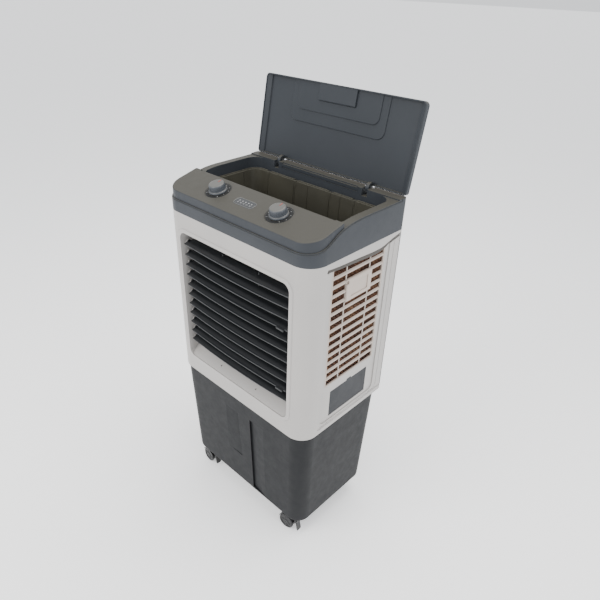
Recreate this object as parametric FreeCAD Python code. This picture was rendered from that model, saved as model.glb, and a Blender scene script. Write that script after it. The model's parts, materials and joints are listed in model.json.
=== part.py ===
import FreeCAD, Part
import math
import os

# Evaporative air cooler on casters: a water tank, a pad and fan housing, and a top shell with an ice well.
# Millimetres. +Z is up, the louvres face -Y, and z = 0 is the floor. The pieces are drawn about the
# cabinet's own middle and moved by BODY_Y at the end, which centres the outline with the lid open.

Vector = FreeCAD.Vector
X_AXIS = Vector(1, 0, 0)
Y_AXIS = Vector(0, 1, 0)
Z_AXIS = Vector(0, 0, 1)

# Driving dimensions
WIDTH = 560.0
DEPTH = 366.0
CASTER_LIFT = 75.0
TANK_HEIGHT = 395.0
HOUSING_HEIGHT = 547.0
RIM_HEIGHT = 84.0
RAIL_HEIGHT = 87.0
WALL = 3.0
RUNNING_GAP = 0.05
BODY_Y = -23.1

HALF_WIDTH = WIDTH / 2
FRONT_Y = -DEPTH / 2
REAR_Y = DEPTH / 2
TANK_TOP = CASTER_LIFT + TANK_HEIGHT
SEAM = TANK_TOP + HOUSING_HEIGHT
RIM = SEAM + RIM_HEIGHT
RAIL_TOP = SEAM + RAIL_HEIGHT

# Outline in plan
FRONT_RADIUS = 55.0
REAR_RADIUS = 10.0
REAR_COVER_THICKNESS = 7.0
HOUSING_REAR_Y = REAR_Y - REAR_COVER_THICKNESS

# Water tank
TANK_TOP_HALF = (275.0, 178.0)
TANK_FLOOR_HALF = (263.0, 162.0)
TANK_WALL = 3.5
TANK_FLOOR = 6.0
TANK_BOTTOM_FILLET = 14.0
FLUTE_DEPTH = 6.0
DRAIN_X = -150.0
DRAIN_Z = CASTER_LIFT + 34.0
DRAIN_RADIUS = 10.0

# Air outlet and louvres
OUTLET_HALF = 217.0
OUTLET_LOW = SEAM - 487.0
OUTLET_HIGH = SEAM - 56.0
OUTLET_RADIUS = 22.0
OUTLET_DEPTH = 49.0
SILL_RISE = 32.0
SLEEVE_REAR_Y = FRONT_Y + OUTLET_DEPTH
BEAD_HEIGHT = 2.5
BEAD_WIDTH = 12.0
LOUVRE_COUNT = 11
LOUVRE_PITCH = 33.3
LOUVRE_TOP_Z = SEAM - 95.6
LOUVRE_PIVOT_Y = FRONT_Y + 24.0
LOUVRE_HALF_CHORD = 17.0
LOUVRE_BOW = 7.0
LOUVRE_HALF_LENGTH = 213.0
LOUVRE_TILT = 8.0
LOUVRE_PIN = 3.0
LOUVRE_UPPER_GROUP = range(1, 8)
LOUVRE_LOWER_GROUP = range(8, 12)
TABBED_LOUVRES = (4, 10)
LINK_X = 73.0
LINK_REACH = 13.0
LINK_PIN = 1.8

# Upright vanes behind the louvres
VANE_COUNT = 4
VANE_PITCH = 79.0
VANE_PIVOT_Y = -118.0
VANE_HALF_CHORD = 15.0
VANE_PIN = 2.4
VANE_LINK_REACH = 14.0
FRAME_REAR_Y = -92.0
FRAME_LOW = SEAM - 462.0
FRAME_HIGH = OUTLET_HIGH + 9.0
VANE_LINK_Z = FRAME_LOW + 40.0

# Side fields, grilles and pads
FIELD_X = 275.5
FIELD_BACK_X = 271.0
FIELD_FRONT_Y = -112.0
FIELD_REAR_Y = 132.0
FIELD_LOW = SEAM - 520.0
GRILLE_FRONT_Y = -98.0
GRILLE_REAR_Y = 116.0
SLOT_ROWS = 14
SLOT_PITCH = 25.9
SLOT_HEIGHT = 18.5
SLOT_TOP_Z = SEAM - 39.0
GRILLE_HIGH = SLOT_TOP_Z + 12.0
GRILLE_LOW = SLOT_TOP_Z - (SLOT_ROWS - 1) * SLOT_PITCH - 12.0
PAD_THICKNESS = 31.5
FLAP_FRONT_Y = -70.0
FLAP_REAR_Y = 95.0
FLAP_LOW = SEAM - 508.0
FLAP_HIGH = SEAM - 418.0
FLAP_BACK_X = 272.0
FLAP_THICKNESS = 3.0
FIT_GAP = 0.5
SCREW_X = 262.0

# Fan
FAN_Z = SEAM - 285.0
FAN_RADIUS = 165.0
RING_RADIUS = 170.0
RING_REAR_Y = -5.0
HUB_RADIUS = 34.0
SHAFT_RADIUS = 5.0
MOTOR_RADIUS = 55.0
MOTOR_LENGTH = 70.0
FAN_BLADES = 5

# Top shell, well and lid
SKIRT_WALL = 4.0
PANEL_REAR_Y = -66.0
PANEL_FRONT_HEIGHT = 60.0
PANEL_REAR_HEIGHT = 88.5
WELL_HALF = 256.0
WELL_FRONT_Y = -60.0
WELL_REAR_Y = 150.0
LEDGE_Z = SEAM + 50.0
RIM_HOLLOW_Y = -20.0
TRAY_DEPTH = 150.0
TRAY_CLIPS = (-183, -70, 62, 147)
LID_HALF = 277.0
LID_FRONT_Y = -60.0
LID_REAR_Y = 169.0
LID_LOW = SEAM + 88.0
LID_THICKNESS = 15.0
LID_SKIN_Z = LID_LOW + 11.5
POCKET_HALF = 65.0
POCKET_REAR_Y = -12.0
LID_OPEN = 100.0
HINGE_Y = 174.0
HINGE_Z = SEAM + 85.0
HINGE_X = 166.0
HINGE_PIN = 3.0

# Knobs
KNOB_X = 115.0
KNOB_Y = -120.0
KNOB_RADIUS = 26.0
DIAL_RADIUS = 37.0

# Casters
CASTER_X = 205.0
CASTER_Y = 134.0
CASTER_WHEEL_RADIUS = 27.0
CASTER_OFFSET = 13.0
CASTER_STEM = 5.0
CASTER_YAW = {
    "front_left": 176.0,
    "front_right": 186.0,
    "rear_left": 20.0,
    "rear_right": 168.0,
}
BRAKE_X = -20.0
BRAKE_Z = 50.0

# Water pump, gland and indicator window
PUMP_X = 212.0
PUMP_Y = 92.0
RISER_X = 253.0
RISER_Y = 139.0
GLAND_X = -222.0
GLAND_Z = TANK_TOP + 45.0
GLAND_RADIUS = 8.0
GLAND_BORE = 3.6
WINDOW_X = 0.0
WINDOW_Y = -127.0


def box(x0, x1, y0, y1, z0, z1):
    return Part.makeBox(x1 - x0, y1 - y0, z1 - z0, Vector(x0, y0, z0))


def rod(radius, start, end):
    return Part.makeCylinder(radius, (end - start).Length, start, end - start)


def mirrored(shape):
    return shape.mirror(Vector(0, 0, 0), X_AXIS)


def joined(shapes):
    return shapes[0].multiFuse(shapes[1:]).removeSplitter()


def rounded_loop(corners, radii):
    """Closed wire through the corners, each rounded by its own radius."""
    count = len(corners)
    arcs = []
    for index, corner in enumerate(corners):
        back = (corners[index - 1] - corner).normalize()
        ahead = (corners[(index + 1) % count] - corner).normalize()
        half_angle = back.getAngle(ahead) / 2
        reach = radii[index] / math.tan(half_angle)
        inward = (back + ahead).normalize()
        centre = corner + inward * (radii[index] / math.sin(half_angle))
        arcs.append((corner + back * reach, centre - inward * radii[index], corner + ahead * reach))
    edges = []
    for index, (start, middle, end) in enumerate(arcs):
        edges.append(Part.Arc(start, middle, end).toShape())
        edges.append(Part.makeLine(end, arcs[(index + 1) % count][0]))
    return Part.Wire(edges)


def plan_loop(half_x, y_front, y_rear, front_radius, rear_radius, z):
    corners = [
        Vector(-half_x, y_front, z),
        Vector(half_x, y_front, z),
        Vector(half_x, y_rear, z),
        Vector(-half_x, y_rear, z),
    ]
    return rounded_loop(corners, [front_radius, front_radius, rear_radius, rear_radius])


def plan_prism(half_x, y_front, y_rear, front_radius, rear_radius, z_low, z_high):
    loop = plan_loop(half_x, y_front, y_rear, front_radius, rear_radius, z_low)
    return Part.Face(loop).extrude(Vector(0, 0, z_high - z_low))


def front_window(half_x, z_low, z_high, radius, y_front, y_rear):
    """Rounded block seen from the front, running from y_front to y_rear."""
    corners = [
        Vector(-half_x, y_front, z_low),
        Vector(half_x, y_front, z_low),
        Vector(half_x, y_front, z_high),
        Vector(-half_x, y_front, z_high),
    ]
    return Part.Face(rounded_loop(corners, [radius] * 4)).extrude(Vector(0, y_rear - y_front, 0))


def both_sides(shape):
    return shape.fuse(mirrored(shape))


def edges_at(shape, axis, value):
    """Edges that lie wholly in the plane where the coordinate called axis has this value."""
    found = []
    for edge in shape.Edges:
        low = getattr(edge.BoundBox, axis + "Min")
        high = getattr(edge.BoundBox, axis + "Max")
        if abs(low - value) < 0.01 and abs(high - value) < 0.01:
            found.append(edge)
    return found


# ---------------------------------------------------------------- water tank


def tank_body(inset, z_low, z_high):
    """Tapered tub between the tank's floor and rim outlines, shrunk by inset."""

    def loop(half, z, radius):
        half_x, half_y = half[0] - inset, half[1] - inset
        return plan_loop(half_x, -half_y, half_y, radius - inset, radius - 10 - inset, z)

    floor = loop(TANK_FLOOR_HALF, z_low, 46.0)
    rim = loop(TANK_TOP_HALF, z_high, 52.0)
    return Part.makeLoft([floor, rim], True, True)


def tank_wall_y(z):
    """The front wall's y at a height, as the tub tapers."""
    share = (z - CASTER_LIFT) / TANK_HEIGHT
    return -(TANK_FLOOR_HALF[1] + (TANK_TOP_HALF[1] - TANK_FLOOR_HALF[1]) * share)


def tank_flute(steps, x_fade, heights, low_depth, grow):
    """Wedge that is deep at its step and fades out at x_fade, following the sloped front wall."""

    def section(x_step, z, depth):
        y = tank_wall_y(z)
        step = x_step + math.copysign(grow, x_step - x_fade)
        points = [
            Vector(step, y - 5, z),
            Vector(step, y + depth + grow, z),
            Vector(x_fade, y + grow, z),
            Vector(x_fade, y - 5, z),
        ]
        return Part.makePolygon(points + points[:1])

    low = section(steps[0], heights[0] - grow, low_depth)
    high = section(steps[1], heights[1] + grow, FLUTE_DEPTH)
    return Part.makeLoft([low, high], True, True)


def tank_flutes(grow):
    left = tank_flute((5.0, -3.0), -62.0, (SEAM - 806.0, SEAM - 614.0), 1.5, grow)
    right = tank_flute((52.0, 52.0), 112.0, (SEAM - 925.0, SEAM - 608.0), FLUTE_DEPTH, grow)
    return left.fuse(right)


def caster_places():
    places = {}
    for name in CASTER_YAW:
        end, side = name.split("_")
        x = CASTER_X if side == "right" else -CASTER_X
        y = CASTER_Y if end == "rear" else -CASTER_Y
        places[name] = Vector(x, y, 0)
    return places


def water_tank():
    outer = tank_body(0, CASTER_LIFT, TANK_TOP)
    outer = outer.makeFillet(TANK_BOTTOM_FILLET, edges_at(outer, "Z", CASTER_LIFT))
    cavity_low = CASTER_LIFT + TANK_FLOOR
    cavity = tank_body(TANK_WALL, cavity_low, TANK_TOP + 1)
    cavity = cavity.makeFillet(TANK_BOTTOM_FILLET - TANK_WALL, edges_at(cavity, "Z", cavity_low))
    tank = outer.cut(tank_flutes(0)).cut(cavity.cut(tank_flutes(TANK_WALL)))
    for place in caster_places().values():
        socket_top = CASTER_LIFT + 26
        tank = tank.fuse(rod(10, place + Z_AXIS * (CASTER_LIFT + 1), place + Z_AXIS * socket_top))
        start, end = place + Z_AXIS * (CASTER_LIFT - 1), place + Z_AXIS * (socket_top - 3)
        tank = tank.cut(rod(CASTER_STEM + RUNNING_GAP, start, end))
    boss = rod(16, Vector(DRAIN_X, 152, DRAIN_Z), Vector(DRAIN_X, 168, DRAIN_Z))
    drain_hole = rod(DRAIN_RADIUS + 0.3, Vector(DRAIN_X, 140, DRAIN_Z), Vector(DRAIN_X, 190, DRAIN_Z))
    return tank.fuse(boss).cut(drain_hole).removeSplitter()


def drain_plug():
    stem = rod(DRAIN_RADIUS, Vector(DRAIN_X, 150, DRAIN_Z), Vector(DRAIN_X, 169, DRAIN_Z))
    cap = rod(15, Vector(DRAIN_X, 168.3, DRAIN_Z), Vector(DRAIN_X, 174, DRAIN_Z))
    finger_bar = box(DRAIN_X - 13, DRAIN_X + 13, 173, 181, DRAIN_Z - 2.5, DRAIN_Z + 2.5)
    return joined([stem, cap, finger_bar])


# ---------------------------------------------------------------- housing


SHOULDER = [(-125, -14), (-77, -19), (0, -22.4), (71, -26), (105, -23), (126, -17), (148, -12), (200, -4)]


def side_recess(x, drop, y_front, y_rear, z_low, corner):
    """Block outside the plane x, under the shoulder's curve lowered by drop, in the right side."""
    points = [Vector(x, y, SEAM + dz - drop) for y, dz in SHOULDER]
    curve = Part.BSplineCurve()
    curve.interpolate(points)
    under = [Vector(x, points[-1].y, z_low - 50), Vector(x, points[0].y, z_low - 50)]
    sides = Part.makePolygon([points[-1]] + under + [points[0]])
    below = Part.Face(Part.Wire([curve.toShape()] + sides.Edges)).extrude(X_AXIS * 20)
    corners = [
        Vector(x, y_front, z_low),
        Vector(x, y_rear, z_low),
        Vector(x, y_rear, SEAM),
        Vector(x, y_front, SEAM),
    ]
    radii = [corner, corner, 1, 1]
    return Part.Face(rounded_loop(corners, radii)).extrude(X_AXIS * 20).common(below)


def side_field_cut():
    """Border step, grille field and the groove that shades the field under the shoulder."""
    border = side_recess(HALF_WIDTH - 1.5, 0, -121, 190, FIELD_LOW - 12, 4)
    field = side_recess(FIELD_X, 0, FIELD_FRONT_Y, FIELD_REAR_Y, FIELD_LOW, 20)
    groove = side_recess(FIELD_X - 2.7, 0, -120, 173, FIELD_LOW, 1)
    groove = groove.cut(side_recess(FIELD_X - 4, 11, -300, 300, FIELD_LOW - 60, 1))
    line = box(FIELD_X + 1.5, 300, 150, 151.6, FIELD_LOW + 2, SEAM - 24)
    lower_line = box(FIELD_X + 1.5, 300, -110, 150, FIELD_LOW - 7, FIELD_LOW - 5.4)
    peg_hole = rod(4.2, Vector(FIELD_BACK_X - 4, -119, SEAM - 21), Vector(300, -119, SEAM - 21))
    return joined([border, field, groove, line, lower_line, peg_hole])


def grille_block(x0, x1, grow):
    """Block with the side grille's outline, grown by a clearance."""
    y0, y1 = GRILLE_FRONT_Y - grow, GRILLE_REAR_Y + grow
    return box(x0, x1, y0, y1, GRILLE_LOW - grow, GRILLE_HIGH + grow)


def flap_outline(grow, x0, x1):
    """The fill flap's plate with its finger tab, grown by the clearance."""
    plate = box(x0, x1, FLAP_FRONT_Y - grow, FLAP_REAR_Y + grow, FLAP_LOW - grow, FLAP_HIGH + grow)
    tab_y = (FLAP_FRONT_Y + FLAP_REAR_Y) / 2
    tab = box(x0, x1, tab_y - 10 - grow, tab_y + 10 + grow, FLAP_HIGH - 1, FLAP_HIGH + 5 + grow)
    return plate.fuse(tab).removeSplitter()


def outlet_sill():
    """Sloped sill along the bottom of the air outlet."""
    points = [
        Vector(-OUTLET_HALF, FRONT_Y + 1, OUTLET_LOW - 1),
        Vector(-OUTLET_HALF, FRONT_Y + 1, OUTLET_LOW + 1),
        Vector(-OUTLET_HALF, SLEEVE_REAR_Y, OUTLET_LOW + SILL_RISE),
        Vector(-OUTLET_HALF, SLEEVE_REAR_Y, OUTLET_LOW - 1),
    ]
    return Part.Face(Part.makePolygon(points + points[:1])).extrude(Vector(2 * OUTLET_HALF, 0, 0))


def outlet_block(grow, y_front, y_rear):
    """Block with the air outlet's outline, grown all round."""
    low, high = OUTLET_LOW - grow, OUTLET_HIGH + grow
    return front_window(OUTLET_HALF + grow, low, high, OUTLET_RADIUS + grow, y_front, y_rear)


def louvre_pivot(number):
    return Vector(0, LOUVRE_PIVOT_Y, LOUVRE_TOP_Z - (number - 1) * LOUVRE_PITCH)


def front_housing():
    z_low, z_high = TANK_TOP, SEAM
    outer = plan_prism(HALF_WIDTH, FRONT_Y, REAR_Y, FRONT_RADIUS, REAR_RADIUS, z_low, z_high)
    outer = outer.common(box(-300, 300, -300, HOUSING_REAR_Y, z_low, z_high))
    inner = plan_prism(
        HALF_WIDTH - WALL,
        FRONT_Y + WALL,
        REAR_Y - WALL,
        FRONT_RADIUS - WALL,
        REAR_RADIUS - WALL,
        z_low - 1,
        z_high + 1,
    )
    field_wall = box(FIELD_BACK_X, HALF_WIDTH - 1, -126, REAR_Y - 9, z_low + 12, z_high - 4)
    post = box(SCREW_X - 7, SCREW_X + 7, HOUSING_REAR_Y - 14, HOUSING_REAR_Y, z_low, z_high - 30)
    foot = plan_prism(HALF_WIDTH - 1, FRONT_Y + 1, REAR_Y - 1, FRONT_RADIUS, REAR_RADIUS, z_low, z_low + 3)
    foot = foot.cut(plan_prism(264, -168, 200, 40, 1, z_low - 1, z_low + 4))
    stays = [both_sides(piece).common(outer) for piece in (field_wall, post, foot)]
    housing = joined([outer.cut(inner)] + stays)

    bead = outlet_block(BEAD_WIDTH, FRONT_Y - BEAD_HEIGHT, FRONT_Y + 1)
    bead = bead.makeChamfer(BEAD_HEIGHT - 0.5, edges_at(bead, "Y", FRONT_Y - BEAD_HEIGHT))
    sleeve = outlet_block(WALL, FRONT_Y, SLEEVE_REAR_Y)
    strip_y, strip_z = LOUVRE_PIVOT_Y, (OUTLET_LOW + 20, OUTLET_HIGH - 20)
    bearing_strip = box(OUTLET_HALF + 1, OUTLET_HALF + 9, strip_y - 7, strip_y + 7, *strip_z)
    outlet = outlet_block(0, FRONT_Y - 10, SLEEVE_REAR_Y + 10)
    housing = joined([housing, bead, sleeve, both_sides(bearing_strip)]).cut(outlet)
    drip_holes = []
    for x in (-84, 73):
        drip_holes.append(rod(2.5, Vector(x, -165, OUTLET_LOW + 6), Vector(x, -165, OUTLET_LOW + 30)))
    housing = housing.fuse(outlet_sill().cut(drip_holes))

    pin_holes = []
    for number in range(1, LOUVRE_COUNT + 1):
        pivot = louvre_pivot(number)
        start, end = pivot + X_AXIS * (OUTLET_HALF - 1), pivot + X_AXIS * (OUTLET_HALF + 7)
        hole = rod(LOUVRE_PIN + RUNNING_GAP, start, end)
        pin_holes += [hole, mirrored(hole)]
    for side_cut in (side_field_cut(), grille_block(200, 300, FIT_GAP)):
        pin_holes += [side_cut, mirrored(side_cut)]
    pin_holes += [flap_outline(FIT_GAP, 260, 300), flap_hinge(RUNNING_GAP)]
    pin_holes.append(mirrored(flap_outline(FIT_GAP, FLAP_BACK_X, 300)))
    pin_holes += [screw_shank(place) for place in screw_places()]
    return housing.cut(pin_holes).removeSplitter()


def slot_rows():
    return [SLOT_TOP_Z - row * SLOT_PITCH for row in range(SLOT_ROWS)]


def side_grille():
    x0, x1 = FIELD_BACK_X + 0.5, FIELD_X
    panel = grille_block(x0, x1, 0)
    top, low = SLOT_TOP_Z + SLOT_HEIGHT / 2, SLOT_TOP_Z - (SLOT_ROWS - 1) * SLOT_PITCH - SLOT_HEIGHT / 2
    window = box(x0 - 1, x1 + 1, GRILLE_FRONT_Y + 5, GRILLE_REAR_Y - 5, low, top)
    pieces = [panel.cut(window)]
    half = (SLOT_PITCH - SLOT_HEIGHT) / 2
    for z in slot_rows()[:-1]:
        middle = z - SLOT_PITCH / 2
        y = GRILLE_FRONT_Y + 4
        section = [
            Vector(x1, y, middle - half),
            Vector(x1, y, middle),
            Vector(x0, y, middle + half),
            Vector(x0, y, middle + 1),
        ]
        slat = Part.Face(Part.makePolygon(section + section[:1]))
        pieces.append(slat.extrude(Y_AXIS * (GRILLE_REAR_Y - GRILLE_FRONT_Y - 8)))
    middle_y = (GRILLE_FRONT_Y + GRILLE_REAR_Y) / 2
    for y in (middle_y - 48, middle_y + 48):
        pieces.append(box(x0, x1 - 2.2, y - 1.8, y + 1.8, GRILLE_LOW + 1, GRILLE_HIGH - 1))
    grip = box(x0, x1 + 3.5, -40, 64, SEAM - 138, SEAM - 73)
    pieces.append(grip.makeChamfer(2.5, edges_at(grip, "X", x1 + 3.5)))
    thumb_notch = box(x1 - 1, x1 + 9, -45, -33, SEAM - 86, SEAM - 76)
    hollow = box(x1 + 1.5, x1 + 9, -22, 46, SEAM - 126, SEAM - 85)
    return joined(pieces).cut([thumb_notch, hollow])


def side_pad():
    x1 = FIELD_BACK_X + 0.5
    return grille_block(x1 - PAD_THICKNESS, x1, -2)


def flap_hinge(grow):
    """The two hinge pins along the fill flap's lower edge, as one rod."""
    x, z = FLAP_BACK_X + FLAP_THICKNESS / 2, FLAP_LOW + FLAP_THICKNESS / 2
    start = Vector(x, FLAP_FRONT_Y - 3 - 4 * grow, z)
    return rod(1.2 + grow, start, Vector(x, FLAP_REAR_Y + 3 + 4 * grow, z))


def flap_plate():
    """Fill flap with a rounded lower edge, a stiffening rib and its hinge pins."""
    plate = flap_outline(0, FLAP_BACK_X, FLAP_BACK_X + FLAP_THICKNESS)
    lower_edges = [edge for edge in edges_at(plate, "Z", FLAP_LOW) if edge.Length > FLAP_THICKNESS + 1]
    plate = plate.makeFillet(FLAP_THICKNESS / 2 - 0.1, lower_edges)
    rib_y = (FLAP_FRONT_Y + 6, FLAP_REAR_Y - 6)
    rib = box(FLAP_BACK_X - 3, FLAP_BACK_X + 1, *rib_y, FLAP_HIGH - 14, FLAP_HIGH - 11)
    return joined([plate, rib, flap_hinge(0)])


def blank_plate():
    return flap_outline(0, FLAP_BACK_X, FLAP_BACK_X + FLAP_THICKNESS)


def screw_places():
    places = []
    for x in (-SCREW_X, SCREW_X):
        for z in (TANK_TOP + 25, TANK_TOP + 190, SEAM - 205, SEAM - 45):
            places.append(Vector(x, 0, z))
    return places


def screw_shank(place):
    return rod(2.0, place + Y_AXIS * (HOUSING_REAR_Y - 11), place + Y_AXIS * (REAR_Y + 1))


def casing_screws():
    screws = []
    for place in screw_places():
        head = Part.makeCone(4.2, 3.2, 2.4, place + Y_AXIS * REAR_Y, Y_AXIS)
        cross = box(place.x - 2.2, place.x + 2.2, REAR_Y + 1.4, REAR_Y + 3, place.z - 0.5, place.z + 0.5)
        cross = cross.fuse(cross.rotated(place, Y_AXIS, 90))
        screws.append(screw_shank(place).fuse(head).cut(cross))
    return Part.makeCompound(screws)


def rear_cover():
    slab = plan_prism(HALF_WIDTH, 100, REAR_Y, 5, REAR_RADIUS, TANK_TOP, SEAM)
    slab = slab.common(box(-300, 300, HOUSING_REAR_Y, REAR_Y, TANK_TOP, SEAM))
    cuts = []
    for z in slot_rows():
        for column in range(4):
            x0 = -198 + column * 100
            cuts.append(box(x0, x0 + 96, 150, 200, z - SLOT_HEIGHT / 2, z + SLOT_HEIGHT / 2))
    cuts += [screw_shank(place) for place in screw_places()]
    cuts.append(rod(GLAND_RADIUS, Vector(GLAND_X, 150, GLAND_Z), Vector(GLAND_X, 200, GLAND_Z)))
    return slab.cut(cuts)


def rear_pad():
    return box(-202, 202, HOUSING_REAR_Y - 28, HOUSING_REAR_Y, GRILLE_LOW + 2, GRILLE_HIGH - 2)


# ---------------------------------------------------------------- cord gland


def cord_gland():
    inside = Vector(GLAND_X, HOUSING_REAR_Y - 6, GLAND_Z)
    sleeve = rod(GLAND_RADIUS, inside, Vector(GLAND_X, REAR_Y + 3, GLAND_Z))
    collar = rod(12, Vector(GLAND_X, REAR_Y, GLAND_Z), Vector(GLAND_X, REAR_Y + 5, GLAND_Z))
    nose = Part.makeCone(9, 6, 10, Vector(GLAND_X, REAR_Y + 5, GLAND_Z), Y_AXIS)
    bore = rod(GLAND_BORE, Vector(GLAND_X, 150, GLAND_Z), Vector(GLAND_X, 220, GLAND_Z))
    return joined([sleeve, collar, nose]).cut(bore)


# ---------------------------------------------------------------- louvres


def louvre_blade():
    """Blade about its pivot line, crowned on top, with a front edge that bows out in the middle."""
    length, half, front = LOUVRE_HALF_LENGTH, LOUVRE_HALF_CHORD, -LOUVRE_HALF_CHORD - LOUVRE_BOW

    def at(along, up):
        return Vector(-length, along, up)

    top = Part.Arc(at(front - 1, 0.6), at(-2, 2.6), at(half, 0.7)).toShape()
    tail = Part.makeLine(at(half, 0.7), at(half, -0.7))
    bottom = Part.Arc(at(half, -0.7), at(-2, 0.4), at(front - 1, -1.6)).toShape()
    nose = Part.makeLine(at(front - 1, -1.6), at(front - 1, 0.6))
    slab = Part.Face(Part.Wire([top, tail, bottom, nose])).extrude(X_AXIS * (2 * length))
    bowed = Part.Arc(Vector(-length, -half, -9), Vector(0, front, -9), Vector(length, -half, -9)).toShape()
    corners = [Vector(length, -half, -9), Vector(length, half + 1, -9), Vector(-length, half + 1, -9)]
    sides = Part.makePolygon(corners + [Vector(-length, -half, -9)])
    outline = Part.Face(Part.Wire([bowed] + sides.Edges)).extrude(Z_AXIS * 18)
    return slab.common(outline)


def louvre(number):
    pieces = [louvre_blade()]
    for side in (-1, 1):
        end = side * LOUVRE_HALF_LENGTH
        pieces.append(rod(LOUVRE_PIN, Vector(end - side * 10, 0, 0), Vector(end + side * 9, 0, 0)))
        pieces.append(rod(6, Vector(end - side * 3, 0, 0.5), Vector(end, 0, 0.5)))
    if number in TABBED_LOUVRES:
        tab = box(170, 196, -LOUVRE_HALF_CHORD - 7, -LOUVRE_HALF_CHORD + 2, -3.4, 2.2)
        pieces.append(tab.makeFillet(1.5, edges_at(tab, "Y", -LOUVRE_HALF_CHORD - 7)))
    shape = joined(pieces)
    for x in (-LINK_X, LINK_X):
        shape = shape.cut(box(x - 4, x + 4, 4, LOUVRE_HALF_CHORD + 1, -6, 6))
        shape = shape.fuse(rod(LINK_PIN, Vector(x - 6, LINK_REACH, 0), Vector(x + 6, LINK_REACH, 0)))
    shape = shape.removeSplitter().rotated(Vector(0, 0, 0), X_AXIS, LOUVRE_TILT)
    return shape.translated(louvre_pivot(number))


def link_point(number):
    tilt = math.radians(LOUVRE_TILT)
    return louvre_pivot(number) + Vector(0, LINK_REACH * math.cos(tilt), LINK_REACH * math.sin(tilt))


def louvre_link(group):
    """Two upright bars that tie one group of louvres together."""
    top = link_point(group[0])
    bottom = link_point(group[-1])
    bars = []
    for x in (-LINK_X, LINK_X):
        bar = box(x - 2, x + 2, top.y - 3.5, top.y + 3.5, bottom.z - 7, top.z + 7)
        for number in group:
            point = link_point(number)
            start = Vector(x - 3, point.y, point.z)
            bar = bar.cut(rod(LINK_PIN + RUNNING_GAP, start, start + X_AXIS * 6))
        bars.append(bar)
    return Part.makeCompound(bars)


# ---------------------------------------------------------------- swing vanes


def vane_x(number):
    return (number - (VANE_COUNT + 1) / 2) * VANE_PITCH


def outlet_frame():
    outer = box(-226, 226, SLEEVE_REAR_Y, FRAME_REAR_Y, FRAME_LOW, FRAME_HIGH)
    inner = box(-218, 218, SLEEVE_REAR_Y - 1, FRAME_REAR_Y + 1, FRAME_LOW + 4, FRAME_HIGH - 4)
    holes = []
    for number in range(1, VANE_COUNT + 1):
        start = Vector(vane_x(number), VANE_PIVOT_Y, FRAME_LOW - 5)
        holes.append(rod(VANE_PIN + RUNNING_GAP, start, start + Z_AXIS * (FRAME_HIGH - FRAME_LOW + 10)))
    return outer.cut([inner] + holes)


def vane(number):
    x = vane_x(number)
    low, high = FRAME_LOW + 7, FRAME_HIGH - 7
    y = VANE_PIVOT_Y
    blade = box(x - 1.2, x + 1.2, y - VANE_HALF_CHORD, y + VANE_HALF_CHORD, low, high)
    blade = blade.cut(box(x - 5, x + 5, y + 6, y + 30, VANE_LINK_Z - 5, VANE_LINK_Z + 5))
    drive_length = 12 if number == 2 else 0
    bottom_pin = rod(VANE_PIN, Vector(x, y, FRAME_LOW - drive_length), Vector(x, y, low + 12))
    top_pin = rod(VANE_PIN, Vector(x, y, high - 12), Vector(x, y, FRAME_HIGH))
    link_y = y + VANE_LINK_REACH
    link_pin = rod(2, Vector(x, link_y, VANE_LINK_Z - 7), Vector(x, link_y, VANE_LINK_Z + 7))
    return joined([blade, bottom_pin, top_pin, link_pin])


def vane_link():
    y = VANE_PIVOT_Y + VANE_LINK_REACH
    bar = box(vane_x(1) - 9, vane_x(VANE_COUNT) + 9, y - 4, y + 4, VANE_LINK_Z - 2, VANE_LINK_Z + 2)
    holes = []
    for number in range(1, VANE_COUNT + 1):
        start = Vector(vane_x(number), y, VANE_LINK_Z - 5)
        holes.append(rod(2 + RUNNING_GAP, start, start + Z_AXIS * 10))
    return bar.cut(holes)


def swing_motor():
    place = Vector(vane_x(2), VANE_PIVOT_Y, 0)
    can = rod(15, place + Z_AXIS * (FRAME_LOW - 24), place + Z_AXIS * (FRAME_LOW - 2))
    ears = box(place.x - 24, place.x + 24, VANE_PIVOT_Y - 6, VANE_PIVOT_Y + 6, FRAME_LOW - 3, FRAME_LOW)
    bore = rod(VANE_PIN + RUNNING_GAP, place + Z_AXIS * (FRAME_LOW - 14), place + Z_AXIS * (FRAME_LOW + 1))
    return can.fuse(ears).removeSplitter().cut(bore)


# ---------------------------------------------------------------- fan


def fan_axis(y):
    return Vector(0, y, FAN_Z)


def fan_shroud():
    plate = box(-226, 226, FRAME_REAR_Y, FRAME_REAR_Y + 3, FRAME_LOW, FRAME_HIGH)
    ring = rod(RING_RADIUS + 3.5, fan_axis(FRAME_REAR_Y), fan_axis(RING_REAR_Y))
    hole = rod(RING_RADIUS, fan_axis(FRAME_REAR_Y - 1), fan_axis(RING_REAR_Y + 1))
    return plate.fuse(ring).cut(hole).removeSplitter()


def motor_bracket():
    pieces = [rod(MOTOR_RADIUS + 4, fan_axis(RING_REAR_Y), fan_axis(RING_REAR_Y + 5))]
    arm = box(-8, 8, RING_REAR_Y, RING_REAR_Y + 5, FAN_Z, FAN_Z + RING_RADIUS + 3)
    for index in range(4):
        pieces.append(arm.rotated(fan_axis(0), Y_AXIS, 45 + 90 * index))
    return joined(pieces).cut(rod(14, fan_axis(RING_REAR_Y - 1), fan_axis(RING_REAR_Y + 6)))


def fan_motor():
    front = RING_REAR_Y + 5
    can = rod(MOTOR_RADIUS, fan_axis(front), fan_axis(front + MOTOR_LENGTH))
    can = can.makeFillet(8, edges_at(can, "Y", front + MOTOR_LENGTH))
    boss = rod(13, fan_axis(front - 4), fan_axis(front + 1))
    bore = rod(SHAFT_RADIUS + RUNNING_GAP, fan_axis(front - 10), fan_axis(front + MOTOR_LENGTH - 8))
    return can.fuse(boss).cut(bore)


def motor_shaft():
    return rod(SHAFT_RADIUS, fan_axis(-84), fan_axis(RING_REAR_Y + 5 + MOTOR_LENGTH - 10))


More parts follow.
